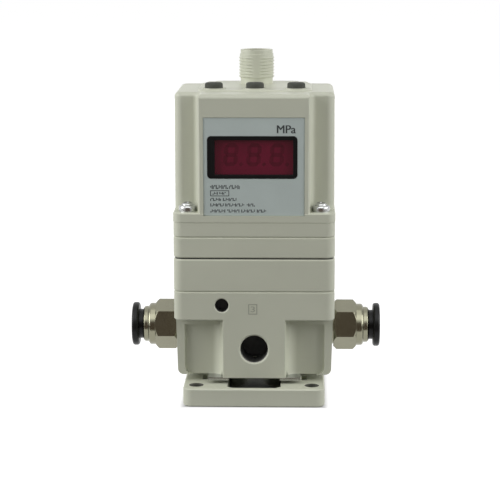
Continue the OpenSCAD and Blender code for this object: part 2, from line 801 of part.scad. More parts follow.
module valve_guide() {
    flange_z1 = body_z0 + guide_flange_t;
    color(black)
        difference() {
            union() {
                rod(guide_boss_d, guide_boss_z, body_z0 + guide_flange_t / 2);
                rod(guide_flange_d, body_z0, flange_z1);
                rod(chamber_d - 2 * seat_clear, flange_z1 - guide_flange_t / 2, guide_z1);
            }
            rod(guide_bore_d, guide_bore_z, guide_z1 + over);
            translate([0, 0, groove_z - guide_seal_t / 2 - face_gap])
                tube(chamber_d + over, chamber_d - 2 * guide_seal_t - 4 * seat_clear,
                    0, guide_seal_t + 2 * face_gap);
            translate([0, 0, flange_z1 + exhaust_passage_d / 2])
                rotate([90, 0, 0])
                    rod(exhaust_passage_d - 2 * seat_clear, 0, chamber_d);
        }
}

module guide_seal() {
    color(rubber)
        translate([0, 0, groove_z])
            rotate_extrude()
                translate([chamber_d / 2 - seat_clear - guide_seal_t / 2, 0])
                    circle(d = guide_seal_t, $fn = 32);
}

// Valve body: a drafted lower block, a front and a back block with flanks, and the collar
module lower_outline() {
    top = lower_w_top / 2;
    low = lower_w_bottom / 2;
    r = lower_edge_r;
    z = body_z0 + r;
    polygon(concat(
        [[-top, collar_z0 + over], [top, collar_z0 + over]],
        [for (p = arc([low - r, z], r, 0, -90)) p],
        [for (p = arc([r - low, z], r, -90, -180)) p]
    ));
}

// Width of the lower part's side at a height
function lower_side(z) =
    (lower_w_bottom + (lower_w_top - lower_w_bottom) * (z - body_z0) / lower_h) / 2;

module recess_outline() {
    x = lower_side(body_z0) - recess_rim;
    z = collar_z0 - recess_rim;
    r = recess_r;
    polygon(concat(
        [[0, z], [x, z]],
        arc([x - r, body_z0 + r], r, 0, -90),
        [[x - r, body_z0 - over], [0, body_z0 - over]]
    ));
}

module flanked_block() {
    x0 = boss_w / 2;
    x1 = x0 + flank_lean + flank_r;
    y1 = lower_d / 2 - recess_depth;
    translate([0, 0, body_z0])
        linear_extrude(lower_h + over)
            polygon(concat(
                [[-x0, -face_y], [x0, -face_y]],
                arc([x1, -y1 - flank_r], flank_r, 180, 90),
                [[x1, 0], [-x1, 0]],
                arc([-x1, -y1 - flank_r], flank_r, 90, 0)
            ));
}

module body_shell() {
    chamfered_slab(body_w, body_w, collar_z0, body_z1, body_corner_r, layer_chamfer, layer_chamfer);
    difference() {
        upright(-lower_d / 2, lower_d)
            lower_outline();
        front_and_back()
            for (side = [0, 1])
                mirror([side, 0, 0])
                    upright(-lower_d / 2 - over, recess_depth + over)
                        recess_outline();
    }
    front_and_back()
        flanked_block();
}

module body_ports() {
    for (side = [-1, 1])
        at_port(side)
            rod(port_d, face_y - port_depth, face_y + over);
    at_port(-1)
        rod(supply_passage_d, 0, face_y - port_depth + over);
    translate([outlet_passage_x, 0, 0])
        rod(outlet_passage_d, port_z, outlet_z0 + over);
    translate([0, -face_y, body_z0 + exhaust_h])
        drilled_port(exhaust_d, exhaust_mouth_d, exhaust_depth);
    translate([-pilot_x, -face_y, collar_z0 + pilot_h])
        drilled_port(pilot_d, pilot_mouth_d, pilot_depth);
}

// A blind hole that runs backwards from a front face, with a chamfered mouth
module drilled_port(d, mouth_d, depth) {
    chamfer = (mouth_d - d) / 2;
    rotate([-90, 0, 0]) {
        rod(d, -over, depth);
        translate([0, 0, -over])
            cylinder(d1 = mouth_d + 2 * over, d2 = d, h = chamfer + over);
    }
}

module body_valve_bores() {
    passage_y = -face_y + exhaust_depth - exhaust_passage_in;
    passage_z = body_z0 + guide_flange_t + exhaust_passage_d / 2;
    rod(chamber_d, body_z0 - over, seat_z);
    rod(guide_flange_d + 2 * boss_clear, body_z0 - over, body_z0 + guide_flange_t);
    rod(seat_d, seat_z - over, outlet_z0 + over);
    rod(outlet_d, outlet_z0, body_z1 + over);
    rod(diaphragm_d + 2 * seat_clear, outlet_z1, body_z1 + over);
    translate([0, passage_y, 0])
        rod(exhaust_passage_d, passage_z, body_z0 + exhaust_h);
    translate([0, 0, passage_z])
        rotate([90, 0, 0])
            rod(exhaust_passage_d, 0, -passage_y);
}

module valve_body() {
    color(paint)
        difference() {
            body_shell();
            body_ports();
            body_valve_bores();
            at_corners(bracket_screw_x, bracket_screw_y)
                rod(tap_d, body_z0 - over, body_z0 + bracket_screw_grip + tap_spare);
            at_corners(stack_screw_x, stack_screw_y)
                rod(tap_d, body_z1 - stack_screw_grip - tap_spare, body_z1 + over);
            at_corners(boss_w / 2 + relief_out, face_y - relief_in)
                translate([0, 0, body_z0 - 0.01])
                    cylinder(r1 = relief_r, r2 = 0, h = relief_h);
        }
}

// Layers above the valve body
module stack_screw_holes(z0, z1) {
    at_corners(stack_screw_x, stack_screw_y)
        rod(screw_hole_d, z0 - over, z1 + over);
}

module diaphragm_housing() {
    color(paint)
        difference() {
            chamfered_slab(body_w, body_w, body_z1, housing_z1, body_corner_r, layer_chamfer, layer_chamfer);
            rod(outlet_d, body_z1 - over, body_z1 + pilot_chamber_h);
            rod(pilot_passage_d, body_z1, housing_z1 + over);
            stack_screw_holes(body_z1, housing_z1);
        }
}

module stack_gasket() {
    w = body_w - 2 * gasket_inset;
    color(rubber)
        difference() {
            slab(w, w, housing_z1, block_z0, body_corner_r - gasket_inset);
            rod(pilot_passage_d, housing_z1 - over, block_z0 + over);
            stack_screw_holes(housing_z1, block_z0);
        }
}

module pilot_block() {
    color(paint)
        difference() {
            chamfered_slab(body_w, body_w, block_z0, block_z1, body_corner_r, layer_chamfer, layer_chamfer);
            rod(pilot_passage_d, block_z0 - over, block_z1 + over);
            stack_screw_holes(block_z0, block_z1);
            at_corners(stack_screw_x, stack_screw_y)
                rod(head_hole_d, block_z1 - head_sink, block_z1 + over);
            at_corners(cover_screw_x, cover_screw_y)
                rod(tap_d, block_z1 - cover_screw_grip - tap_spare, block_z1 + over);
        }
}

module stack_screws() {
    head_z = block_z1 - head_sink;
    color(zinc)
        at_corners(stack_screw_x, stack_screw_y)
            screw(head_z, head_z - body_z1 + stack_screw_grip);
}

module board_base() {
    color(moulding)
        difference() {
            chamfered_slab(body_w, body_w, block_z1, base_z1, body_corner_r, layer_chamfer, joint_chamfer);
            at_corners(cover_screw_x, cover_screw_y)
                rod(screw_hole_d, block_z1 - over, base_z1 + over);
            for (x = [-solenoid_pitch / 2, solenoid_pitch / 2])
                translate([x, solenoid_y, 0])
                    rod(pilot_passage_d, block_z1 - over, base_z1 + over);
            translate([0, -sensor_y, 0])
                rod(pilot_passage_d, block_z1 - over, base_z1 + over);
        }
}

// Cover: a drafted and rounded body with raised panels at the front and back
module dome_outline(w) {
    r = cover_edge_r;
    foot = w / 2;
    top = w / 2 - cover_draft;
    polygon(concat(
        [[-foot, ledge_z - over], [foot, ledge_z - over]],
        arc([top - r, cover_z1 - r], r, 0, 90),
        arc([r - top, cover_z1 - r], r, 90, 180)
    ));
}

module wing_block() {
    w = cover_w;
    d = 2 * wing_y;
    r = wing_r;
    upright(r - d / 2, d - 2 * r)
        dome_outline(w);
    rotate(90)
        upright(r - w / 2, w - 2 * r)
            dome_outline(d);
    at_corners(w / 2 - r, d / 2 - r)
        rotate_extrude()
            intersection() {
                dome_outline(2 * r);
                translate([0, ledge_z - over])
                    square([r, cover_h]);
            }
}

module panel_block() {
    intersection() {
        upright(-body_w, 2 * body_w)
            dome_outline(panel_w);
        rotate(90)
            upright(-body_w, 2 * body_w)
                dome_outline(body_w);
        translate([0, 0, ledge_z - over / 2])
            linear_extrude(cover_h)
                rounded_rect(panel_w, body_w + 2 * flange_out, panel_r);
    }
}

// Side view of the cutter that leaves the hollow beside a panel
module root_outline() {
    r = cover_edge_r;
    x = root_r + cover_draft + r;
    polygon(concat(
        [[0, ledge_z - 2 * over], [root_r, ledge_z - 2 * over], [root_r, ledge_z - over]],
        arc([x, cover_z1 - r], r, 180, 90),
        [[x, cover_z1 + over], [0, cover_z1 + over]]
    ));
}

module root_fillets() {
    reach = cover_edge_r + cover_draft;
    side = root_r + reach;
    middle = (root_r - reach) / 2;
    difference() {
        at_corners(panel_w / 2 + middle, wing_y + middle)
            translate([-side / 2, -side / 2, ledge_z - over])
                cube([side, side, cover_z1 - ledge_z + over]);
        at_corners(panel_w / 2 + root_r, wing_y + root_r)
            rotate_extrude()
                root_outline();
    }
}

module cover_hull() {
    wing_block();
    panel_block();
    root_fillets();
    chamfered_slab(flange_w, flange_w, base_z1, ledge_z, body_corner_r, joint_chamfer, layer_chamfer);
    translate([0, deck_y, 0])
        chamfered_slab(deck_w, deck_d, cover_z1 - over, deck_z1, deck_r, joint_chamfer, layer_chamfer);
    translate([0, deck_tail_d / 2, 0])
        chamfered_slab(deck_tail_w, deck_tail_d, cover_z1 - over, deck_z1, deck_r,
            joint_chamfer, layer_chamfer);
    at_keys()
        rod(key_ring_d, deck_z1 - over, deck_z1 + key_ring_h);
}

module cover_cavity() {
    translate([0, 0, base_z1 - over])
        linear_extrude(roof_z0 - base_z1 + over) {
            square([cavity_w, 2 * cavity_wing_y], center = true);
            square([2 * cavity_panel_x, cavity_d], center = true);
        }
}

module at_keys() {
    for (x = [-key_pitch, 0, key_pitch])
        translate([x, -key_y, 0])
            children();
}

// An upright block on the display's axes, from y0 backwards
module display_block(w, h, y0, depth, r) {
    translate([bezel_x, 0, bezel_z])
        upright(y0, depth)
            rounded_rect(w, h, r);
}

module cover() {
    seat_w = faceplate_w + 2 * seat_clear;
    seat_h = faceplate_h + 2 * seat_clear;
    color(moulding) {
        difference() {
            cover_hull();
            cover_cavity();
            translate([-seat_w / 2, faceplate_y - faceplate_seat - over, faceplate_z0 - seat_clear])
                cube([seat_w, faceplate_seat + over, seat_h]);
            display_block(bezel_w + 2 * seat_clear, bezel_h + 2 * seat_clear,
                -body_w, body_w / 2 + wall_t + over, bezel_r);
            at_keys()
                rod(key_d + 2 * key_clear, roof_z0 - over, deck_z1 + key_ring_h + over);
            translate([0, connector_y, 0])
                rod(thread_d + 4 * seat_clear, roof_z0 - over, deck_z1 + over);
            at_corners(cover_screw_x, cover_screw_y)
                rod(screw_hole_d, base_z1 - over, ledge_z + over);
        }
        for (side = [-1, 1], y = [post_inset, key_board_d - post_inset])
            translate([side * post_x, key_board_y + y, 0])
                rod(post_d, key_board_z1, roof_z0 + over);
    }
}

module cover_screws() {
    color(zinc)
        at_corners(cover_screw_x, cover_screw_y)
            screw(ledge_z, ledge_z - block_z1 + cover_screw_grip);
}

// Display
module faceplate() {
    color([0.62, 0.65, 0.64])
        difference() {
            translate([-faceplate_w / 2, faceplate_y - faceplate_t, faceplate_z0])
                cube([faceplate_w, faceplate_t, faceplate_h]);
            display_block(bezel_w + 2 * seat_clear, bezel_h + 2 * seat_clear, -body_w, body_w, bezel_r);
        }
}

module display_bezel() {
    lap = 2 * lens_lap + 2 * seat_clear;
    color(black)
        difference() {
            display_block(bezel_w, bezel_h, bezel_y, bezel_d, bezel_r);
            translate([0, 0, bezel_z])
                upright(-body_w, body_w)
                    square([window_w, window_h], center = true);
            translate([0, 0, bezel_z])
                upright(lens_y, bezel_d)
                    square([window_w + lap, window_h + lap], center = true);
        }
}

module display_lens() {
    color([0.36, 0.04, 0.07])
        translate([0, 0, bezel_z])
            upright(lens_y, lens_t)
                square([window_w + 2 * lens_lap, window_h + 2 * lens_lap], center = true);
}

module display_module() {
    y0 = lens_y + lens_t + face_gap;
    color(black)
        translate([0, 0, bezel_z])
            upright(y0, board_y - y0)
                square([module_w, module_h], center = true);
}

module control_board() {
    color(board_green)
        translate([-board_w / 2, board_y, base_z1])
            cube([board_w, board_t, key_board_z1 - base_z1]);
}

// Keys
module key_board() {
    color(board_green)
        translate([-key_board_w / 2, key_board_y, key_board_z0])
            cube([key_board_w, key_board_d, board_t]);
}

module key_switches() {
    color(black)
        at_keys() {
            translate([-switch_w / 2, -switch_w / 2, key_board_z1])
                cube([switch_w, switch_w, switch_h]);
            rod(plunger_d, key_board_z1, key_board_z1 + switch_h + plunger_h);
        }
}

module key_cap(place) {
    color([0.33, 0.34, 0.32])
        translate([place * key_pitch, -key_y, 0]) {
            domed_rod(key_d, key_flange_z1 - key_flange_t, deck_z1 + key_h, key_edge_r);
            rod(key_flange_d, key_flange_z1 - key_flange_t, key_flange_z1);
        }
}

// Plug connector
module connector_shell() {
    color(moulding)
        translate([0, connector_y, 0])
            difference() {
                union() {
                    rod(connector_flange_d, connector_z0, roof_z0);
                    rod(thread_d + 2 * seat_clear, connector_z0, deck_z1);
                    rod(neck_d, connector_z0, thread_z0);
                    rod(thread_d, thread_z0, thread_z1);
                    rod(rim_d, connector_z0, connector_z1);
                }
                rod(socket_d, connector_z0 - over, connector_z1 + over);
            }
}

module at_pins() {
    for (turn = [45 : 90 : 315])
        rotate(turn)
            translate([pin_circle_d / 2, 0, 0])
                children();
}

module connector_insert() {
    color(black)
        translate([0, connector_y, 0])
            difference() {
                rod(socket_d - 2 * seat_clear, connector_z0, connector_z1 - socket_depth);
                at_pins()
                    rod(pin_d + 2 * seat_clear, connector_z0 - over, connector_z1);
            }
}

module connector_pins() {
    color(brass)
        translate([0, connector_y, 0])
            at_pins()
                domed_rod(pin_d, connector_z0 - pin_tail, connector_z1 - pin_setback, pin_tip_r);
}

// Tube fittings: local +Z runs outwards from the middle of the body
module hexagon() {
    corner_d = hex_af / cos(30);
    z1 = fitting_hex_x + hex_l;
    intersection() {
        translate([0, 0, fitting_hex_x])
            cylinder(d = corner_d, h = hex_l, $fn = 6);
        rotate_extrude()
            polygon([
                [0, fitting_hex_x], [corner_d / 2 - hex_chamfer, fitting_hex_x],
                [corner_d / 2, fitting_hex_x + hex_chamfer],
                [corner_d / 2, z1 - hex_chamfer],
                [corner_d / 2 - hex_chamfer, z1], [0, z1]
            ]);
    }
}

module fitting(side) {
    color(nickel)
        at_port(side)
            difference() {
                union() {
                    rod(port_d - 2 * seat_clear, fitting_shank_x, fitting_hex_x + over);
                    hexagon();
                    domed_rod(neck1_d, fitting_hex_x + over, fitting_neck2_x, neck_edge_r);
                    domed_rod(neck2_d, fitting_hex_x + over, fitting_end_x, neck_edge_r);
                }
                rod(flow_d, fitting_shank_x - over, tube_stop_x + over);
                rod(tube_bore_d, tube_stop_x, fitting_end_x);
                rod(collet_chamber_d, seal_x, fitting_end_x + over);
            }
}

module tube_seal(side) {
    color(rubber)
        at_port(side)
            tube(collet_chamber_d - 2 * seat_clear, tube_pass_d, seal_x, collet_chamber_x);
}

module collet(side) {
    z1 = collet_chamber_x + collet_l;
    color(brass)
        at_port(side)
            difference() {
                tube(collet_chamber_d - 2 * seat_clear, tube_pass_d, collet_chamber_x, z1);
                for (turn = [0 : 360 / collet_slits : 359])
                    rotate(turn)
                        translate([0, -collet_slit_w / 2, collet_chamber_x + collet_ring_l])
                            cube([collet_chamber_d, collet_slit_w, collet_l]);
            }
}

module release_ring(side) {
    bore = tube_pass_d;
    z1 = ring_flange_x + ring_flange_t;
    r = ring_edge_r;
    edge = ring_flange_d / 2 - r;
    color(black)
        at_port(side)
            difference() {
                union() {
                    rod(ring_stem_d, ring_nose_x, ring_flange_x + over);
                    rotate_extrude()
                        polygon(concat(
                            [[0, ring_flange_x]],
                            arc([edge, ring_flange_x + r], r, -90, 0),
                            arc([edge, z1 - r], r, 0, 90),
                            [[0, z1]]
                        ));
                }
                rod(bore, ring_nose_x - over, z1 + over);
            }
}

// Electronics and pilot valves
module solenoid(place) {
    color(black)
        translate([place * solenoid_pitch / 2, solenoid_y, base_z1]) {
            translate([-solenoid_w / 2, -solenoid_d / 2, 0])
                cube([solenoid_w, solenoid_d, solenoid_foot_h]);
            translate([coil_step - solenoid_w / 2, coil_step - solenoid_d / 2, 0])
                cube([solenoid_w - 2 * coil_step, solenoid_d - 2 * coil_step, solenoid_foot_h + coil_h]);
            rod(core_d, 0, solenoid_h);
        }
}

module pressure_sensor() {
    color(zinc)
        translate([0, -sensor_y, 0]) {
            rod(sensor_d, base_z1, base_z1 + sensor_foot_h);
            rod(sensor_cap_d, base_z1, base_z1 + sensor_h);
        }
}

// Diaphragm and valve
module diaphragm() {
    bead_r0 = upper_plate_d / 2 + bead_room;
    bead_r1 = outlet_d / 2 - bead_room;
    bead_r = (bead_r0 + bead_r1) / 2;
    crown = bead_h / (bead_r1 - bead_r0) * 2;
    hole_r = stem_d / 2 + seat_clear;
    bead = arc([bead_r, 0], (bead_r1 - bead_r0) / 2, 180, 0);
    color(rubber)
        rotate_extrude()
            polygon(concat(
                [[hole_r, outlet_z1], [diaphragm_d / 2, outlet_z1], [diaphragm_d / 2, body_z1]],
                [for (i = [arc_steps : -1 : 0]) [bead[i][0], body_z1 + bead[i][1] * crown]],
                [[hole_r, body_z1]]
            ));
}

module upper_plate() {
    color(zinc)
        tube(upper_plate_d, stem_d + 2 * seat_clear, body_z1, upper_plate_z1);
}

module lower_plate() {
    color(zinc)
        tube(lower_plate_d, stem_d + 2 * seat_clear, lower_plate_z0, outlet_z1);
}

module diaphragm_nut() {
    color(zinc)
        translate([0, 0, upper_plate_z1])
            difference() {
                cylinder(d = nut_af / cos(30), h = nut_t, $fn = 6);
                rod(stem_d + 2 * seat_clear, -over, nut_t + over);
            }
}

module valve_stem() {
    color(zinc) {
        rod(stem_d, stem_z0, stem_z1);
        rod(tip_d, stem_z0, stem_z0 + tip_t);
        rod(shoulder_d, lower_plate_z0 - shoulder_t, lower_plate_z0);
    }
}

module supply_valve() {
    color(brass)
        difference() {
            union() {
                rod(valve_d, valve_z0, valve_z1);
                rod(valve_hub_d, valve_z0 - valve_hub_h, valve_z1);
                rod(guide_pin_d, body_z0, valve_z1);
            }
            rod(valve_hole_d, body_z0 - over, valve_z1 + over);
        }
}

// A round wire bent into a coil that stands between two heights, with closed ends
module valve_spring() {
    z0 = guide_z1 + face_gap + spring_wire_d / 2;
    z1 = valve_z0 - face_gap - spring_wire_d / 2;
    steps = spring_turns * turn_steps;
    rings = [
        for (i = [0 : steps])
            let (turn = 360 * i / turn_steps, z = z0 + (z1 - z0) * i / steps)
                [for (j = [0 : wire_sides - 1])
                    let (a = 360 * j / wire_sides, r = spring_d / 2 + spring_wire_d / 2 * cos(a))
                        [r * cos(turn), r * sin(turn), z + spring_wire_d / 2 * sin(a)]]
    ];
    walls = [
        for (i = [0 : steps - 1], j = [0 : wire_sides - 1])
            let (k = (j + 1) % wire_sides)
                [i * wire_sides + j, (i + 1) * wire_sides + j, (i + 1) * wire_sides + k, i * wire_sides + k]
    ];
    ends = [
        [for (j = [0 : wire_sides - 1]) j],
        [for (j = [wire_sides - 1 : -1 : 0]) steps * wire_sides + j]
    ];
    color(zinc)
        polyhedron(points = [for (ring = rings, p = ring) p], faces = concat(walls, ends));
}

mounting_bracket();
bracket_screws();
retaining_plate();
valve_guide();
guide_seal();
valve_body();
diaphragm_housing();
stack_gasket();
pilot_block();
board_base();
stack_screws();
cover();
cover_screws();
faceplate();
display_bezel();
display_lens();
display_module();
control_board();
key_board();
key_switches();
key_cap(-1);  // key_left
key_cap(0);  // key_middle
key_cap(1);  // key_right
connector_shell();
connector_insert();
connector_pins();
fitting(-1);  // fitting_left
fitting(1);  // fitting_right
release_ring(-1);  // release_ring_left
release_ring(1);  // release_ring_right
collet(-1);  // collet_left
collet(1);  // collet_right
tube_seal(-1);  // tube_seal_left
tube_seal(1);  // tube_seal_right
solenoid(-1);  // supply_solenoid
solenoid(1);  // exhaust_solenoid
pressure_sensor();
diaphragm();
upper_plate();
lower_plate();
diaphragm_nut();
valve_stem();
supply_valve();
valve_spring();
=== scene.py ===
import math

import bmesh
import bpy
from bpy.props import FloatProperty, FloatVectorProperty, IntProperty, PointerProperty
from mathutils import Matrix, Vector


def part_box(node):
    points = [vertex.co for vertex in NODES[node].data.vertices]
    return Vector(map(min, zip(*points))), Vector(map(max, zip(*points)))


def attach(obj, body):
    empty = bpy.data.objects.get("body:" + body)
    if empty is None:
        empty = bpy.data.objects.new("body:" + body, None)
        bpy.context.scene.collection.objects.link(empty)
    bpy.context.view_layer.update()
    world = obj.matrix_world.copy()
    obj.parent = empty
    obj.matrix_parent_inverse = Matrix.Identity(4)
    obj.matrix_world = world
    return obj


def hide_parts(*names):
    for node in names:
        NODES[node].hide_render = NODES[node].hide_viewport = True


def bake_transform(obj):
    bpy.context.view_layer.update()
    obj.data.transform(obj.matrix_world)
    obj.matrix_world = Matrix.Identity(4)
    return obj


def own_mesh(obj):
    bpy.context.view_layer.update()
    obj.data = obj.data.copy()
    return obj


bl_info = {
    "name": "Electro Pneumatic Regulator",
    "version": (1, 0, 0),
    "blender": (4, 5, 0),
    "location": "View3D > Sidebar > Regulator",
    "description": "Dresses the regulator's solids with soft edges, print, drives, threads and finishes",
    "category": "Object",
}

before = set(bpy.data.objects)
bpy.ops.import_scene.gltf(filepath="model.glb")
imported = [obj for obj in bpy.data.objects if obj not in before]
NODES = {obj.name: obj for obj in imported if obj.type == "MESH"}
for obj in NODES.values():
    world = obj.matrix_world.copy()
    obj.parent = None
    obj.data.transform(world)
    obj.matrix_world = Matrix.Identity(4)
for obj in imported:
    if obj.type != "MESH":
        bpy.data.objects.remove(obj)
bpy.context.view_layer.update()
# Metres in a millimetre, and how near two points are to be welded
MM = 0.001
WELD = 1e-6

# Places and sizes on the solids, in millimetres
MOUNT_HOLE_X, MOUNT_HOLE_Y, MOUNT_HOLE_REACH = 18, 26, 2.3
GUIDE_NECK_Z = 9
PORTS = ((0, 17.0, 4.3), (-10.05, 30.9, 2.1))
PORT_FRONT_Y, PORT_END_Y, PORT_ROOM = -24.8, -12, 0.05
BODY_REACH, LAYER_REACH = 18.5, 23.5
BASE_CHAMFER_Z = 56
FOOT_REACH, FOOT_Z = 24, 59.5
PANEL_REACH, PANEL_Z, ROOF_Z = 24.2, 60.5, 95.4
DECK_Z = 96.6
CONNECTOR_R, THREAD_L = 5.4, 8.6
HEX_X, NECK_END_X = 24.6, 36.3
HEAD_H, FACE_ROOM = 1.6, 0.02
DRIVE_REACH, DRIVE_LEAD = 1.35, 0.5
CHAMBER_R, PLATE_ROOM = 17, 0.1

# The thread's ridges: half their widths as shares of the pitch, how deep their feet and their faded tops
# sink in millimetres, and where they fade towards the front, in degrees
RIDGE_FOOT, RIDGE_TOP = 0.4, 0.1
FOOT_SINK, TOP_SINK = 0.1, 0.02
FADE_FROM, FADE_OVER = 8, 22

# The screws' recesses narrow to this share, and their crowns rise in these steps of degrees
DRIVE_TAPER = 0.6
CROWN_ANGLES = range(0, 85, 12)

# How many parts a sector of the diaphragm bends in, and how near a cut finds a point in metres
BENDS = 8
CUT_ROOM = 1e-7

# The mark above the exhaust port and the print on the label, in millimetres
MARK_LOW, MARK_HIGH, MARK_LINE, MARK_MARGIN, MARK_T = (-1.8, 28.1), (1.0, 31.4), 0.28, 0.75, 0.02
UNIT_LOW, UNIT_RIGHT = (7.0, 84.55), 12.8
FIELD_LOW, FIELD_HIGH, FIELD_LINE = (-13.4, 65.15), (-7.6, 66.95), 0.2
# Each row's middle and height, and where its groups start and how many strokes they have
ROWS = (
    (68.0, 1.25, ((-13.4, 13), (-7.6, 8))),
    (66.05, 0.8, ((-12.7, 4), (-10.6, 5))),
    (64.15, 0.95, ((-13.4, 8), (-9.5, 10))),
    (62.45, 0.95, ((-13.4, 10), (-8.8, 14), (-2.2, 6))),
    (60.58, 0.95, ((-13.4, 11), (-8.2, 9), (-3.9, 10), (0.9, 7))),
)
# Each stroke's width, and its lower and upper end as shares of the row's height
STROKES = ((0.3, 0, 1), (0.24, 0, 0.75), (0.34, 0.6, 1), (0.28, 0, 1), (0.36, 0, 0.35), (0.24, 0.2, 1),
           (0.32, 0.4, 0.7))
STROKE_GAP = 0.13
DIGITS_UP, SEGMENT_GAP, POINT_GAP, SEGMENT_T = 0.7, 0.06, 0.5, 0.005
# How far a segment's corners are cut, as a share of its width
SEGMENT_TIP = 0.4

# The stage, in metres and watts: each lamp's name, place, power and whether reflections show it
LAMPS = (
    ("top_light", (0, -0.26, 0.95), 1.2, True),
    ("left_light", (-0.93, -0.28, 0.45), 7.8, True),
    ("right_light", (0.93, -0.28, 0.45), 6.3, True),
    ("back_light", (0, 0.95, 0.26), 4.0, False),
)
LAMP_SIZE, LAMP_TARGET = 0.8, (0, 0, 0.05)
WORLD_LIGHT, WORLD_SEEN = 0.16, 1.0
# The floor's half size and shade, half the rectangle under the object where the glow drops to a painted
# shadow, and how the glow fades at its edge
FLOOR_HALF, FLOOR_TONE = 6, (0.3, 0.3, 0.3, 1)
PAINTED_SHADOW_HALF = (0.0215, 0.0305)
FADE_LOW, FADE_HIGH = -0.001, 0.002
GLOW_IN_PAINTED_SHADOW, GLOW_BESIDE = 0.02, 0.95
# Each card's colour and strength, and each screen's card, place, tilt in degrees and half sizes
CARDS = {"dark_card": ((0.18, 0.143, 0.118), 1), "pale_card": ((1, 1, 1), 2.4)}
SCREENS = (
    ("dark_screen", "dark_card", (0, -0.9, 0.2), 90, (0.5, 0.2)),
    ("dark_apron", "dark_card", (0, -0.48, 0.001), 0, (0.5, 0.44)),
    ("pale_screen", "pale_card", (0, -0.6, 0.74), 40, (0.45, 0.26)),
)
# The camera's place in metres, its focal length and sensor in millimetres and its turns in degrees
CAMERA_PLACE = (0.013643, -0.550487, 0.143475)
FOCAL_LENGTH, SENSOR_W = 124.8, 36
PITCH_DOWN, YAW_RIGHT, ROLL = 10.245, -1.62, -0.10


def length(name, description, default):
    """A length property whose default is given in millimetres."""
    return FloatProperty(name=name, description=description, default=default * MM, min=0, precision=5,
                         subtype="DISTANCE", unit="LENGTH")


def colour(name, description, default):
    """A linear colour property."""
    return FloatVectorProperty(name=name, description=description, default=default, size=3, min=0, max=1,
                               subtype="COLOR")


def angle(name, description, default):
    """An angle property whose default is given in degrees."""
    return FloatProperty(name=name, description=description, default=math.radians(default), subtype="ANGLE",
                         unit="ROTATION")


def number(name, description, default, low, high):
    """A whole number property."""
    return IntProperty(name=name, description=description, default=default, min=low, max=high)


class RegulatorSizes(bpy.types.PropertyGroup):
    """Sizes of the fine detail that dresses the solids."""

    cast_edge: length("Cast edge", "Rounding of the painted castings' edges", 0.22)
    moulded_edge: length("Moulded edge", "Rounding of the cover's edges", 0.2)
    lens_edge: length("Lens edge", "Rounding of the display lens's edges", 0.2)
    fine_edge: length("Fine edge", "Rounding of small moulded and turned edges", 0.08)
    print_t: length("Print thickness", "Height of the ink above the label", 0.02)
    unit_h: length("Unit height", "Height of the unit's capitals on the label", 2.45)
    unit_bold: length("Unit boldness", "How much wider the unit's stems are", 0.14)
    digit_h: length("Digit height", "Height of the display's digits", 7.1)
    digit_w: length("Digit width", "Width of the display's digits", 4.4)
    digit_pitch: length("Digit pitch", "Distance between the display's digits", 7.05)
    segment_w: length("Segment width", "Width of one segment of a digit", 1.25)
    digit_lean: angle("Digit lean", "How far the digits lean to the right", 5)
    thread_pitch: length("Thread pitch", "Distance between the ridges of the connector's thread", 1)
    thread_h: length("Thread height", "How far the thread's ridges stand out", 0.3)
    thread_turns: number("Thread turns", "Number of ridges on the connector", 7, 1, 7)
    hex_turn: angle("Hexagon turn", "How far the fittings are screwed in past upright", 12)
    dome_h: length("Dome height", "How far the cover screws' heads are crowned", 0.85)
    drive_w: length("Drive width", "Width of the arms of a screw's cross recess", 0.75)
    drive_d: length("Drive depth", "Depth of a screw's cross recess", 1.2)
    sectors: number("Sectors", "Number of sectors that the diaphragm bends in", 12, 8, 24)


class RegulatorColours(bpy.types.PropertyGroup):
    """Base colours of the finishes."""

    paint: colour("Paint", "Warm grey paint on the castings", (0.60, 0.615, 0.50))
    moulding: colour("Moulding", "Warm grey of the cover", (0.61, 0.625, 0.51))
    film: colour("Label film", "Cool grey of the front label", (0.53, 0.60, 0.575))
    black: colour("Black plastic", "Display frame and release rings", (0.007, 0.0075, 0.008))
    key: colour("Keys", "Dark grey of the three keys", (0.088, 0.092, 0.08))
    lens: colour("Lens", "Dark red of the display's lens", (0.155, 0.007, 0.03))
    ink: colour("Ink", "Ink on the label", (0.035, 0.04, 0.042))
    nickel: colour("Nickel", "Plated tube fittings", (0.252, 0.246, 0.18))
    zinc: colour("Zinc", "Plated screws and plate", (0.46, 0.47, 0.465))
    brass: colour("Brass", "Pins and collets", (0.72, 0.50, 0.20))
    rubber: colour("Rubber", "Seals and diaphragm", (0.02, 0.02, 0.021))
    # Painted shade: this dark colour stands in for the shade deep inside the tapped ports
    bore: colour("Bores", "Shaded inside of the tapped ports", (0.12, 0.12, 0.115))
    board: colour("Board", "Solder resist of the boards", (0.02, 0.14, 0.06))


def sizes():
    """The scene's sizes."""
    return bpy.context.scene.regulator_sizes


def colours():
    """The scene's colours."""
    return bpy.context.scene.regulator_colours


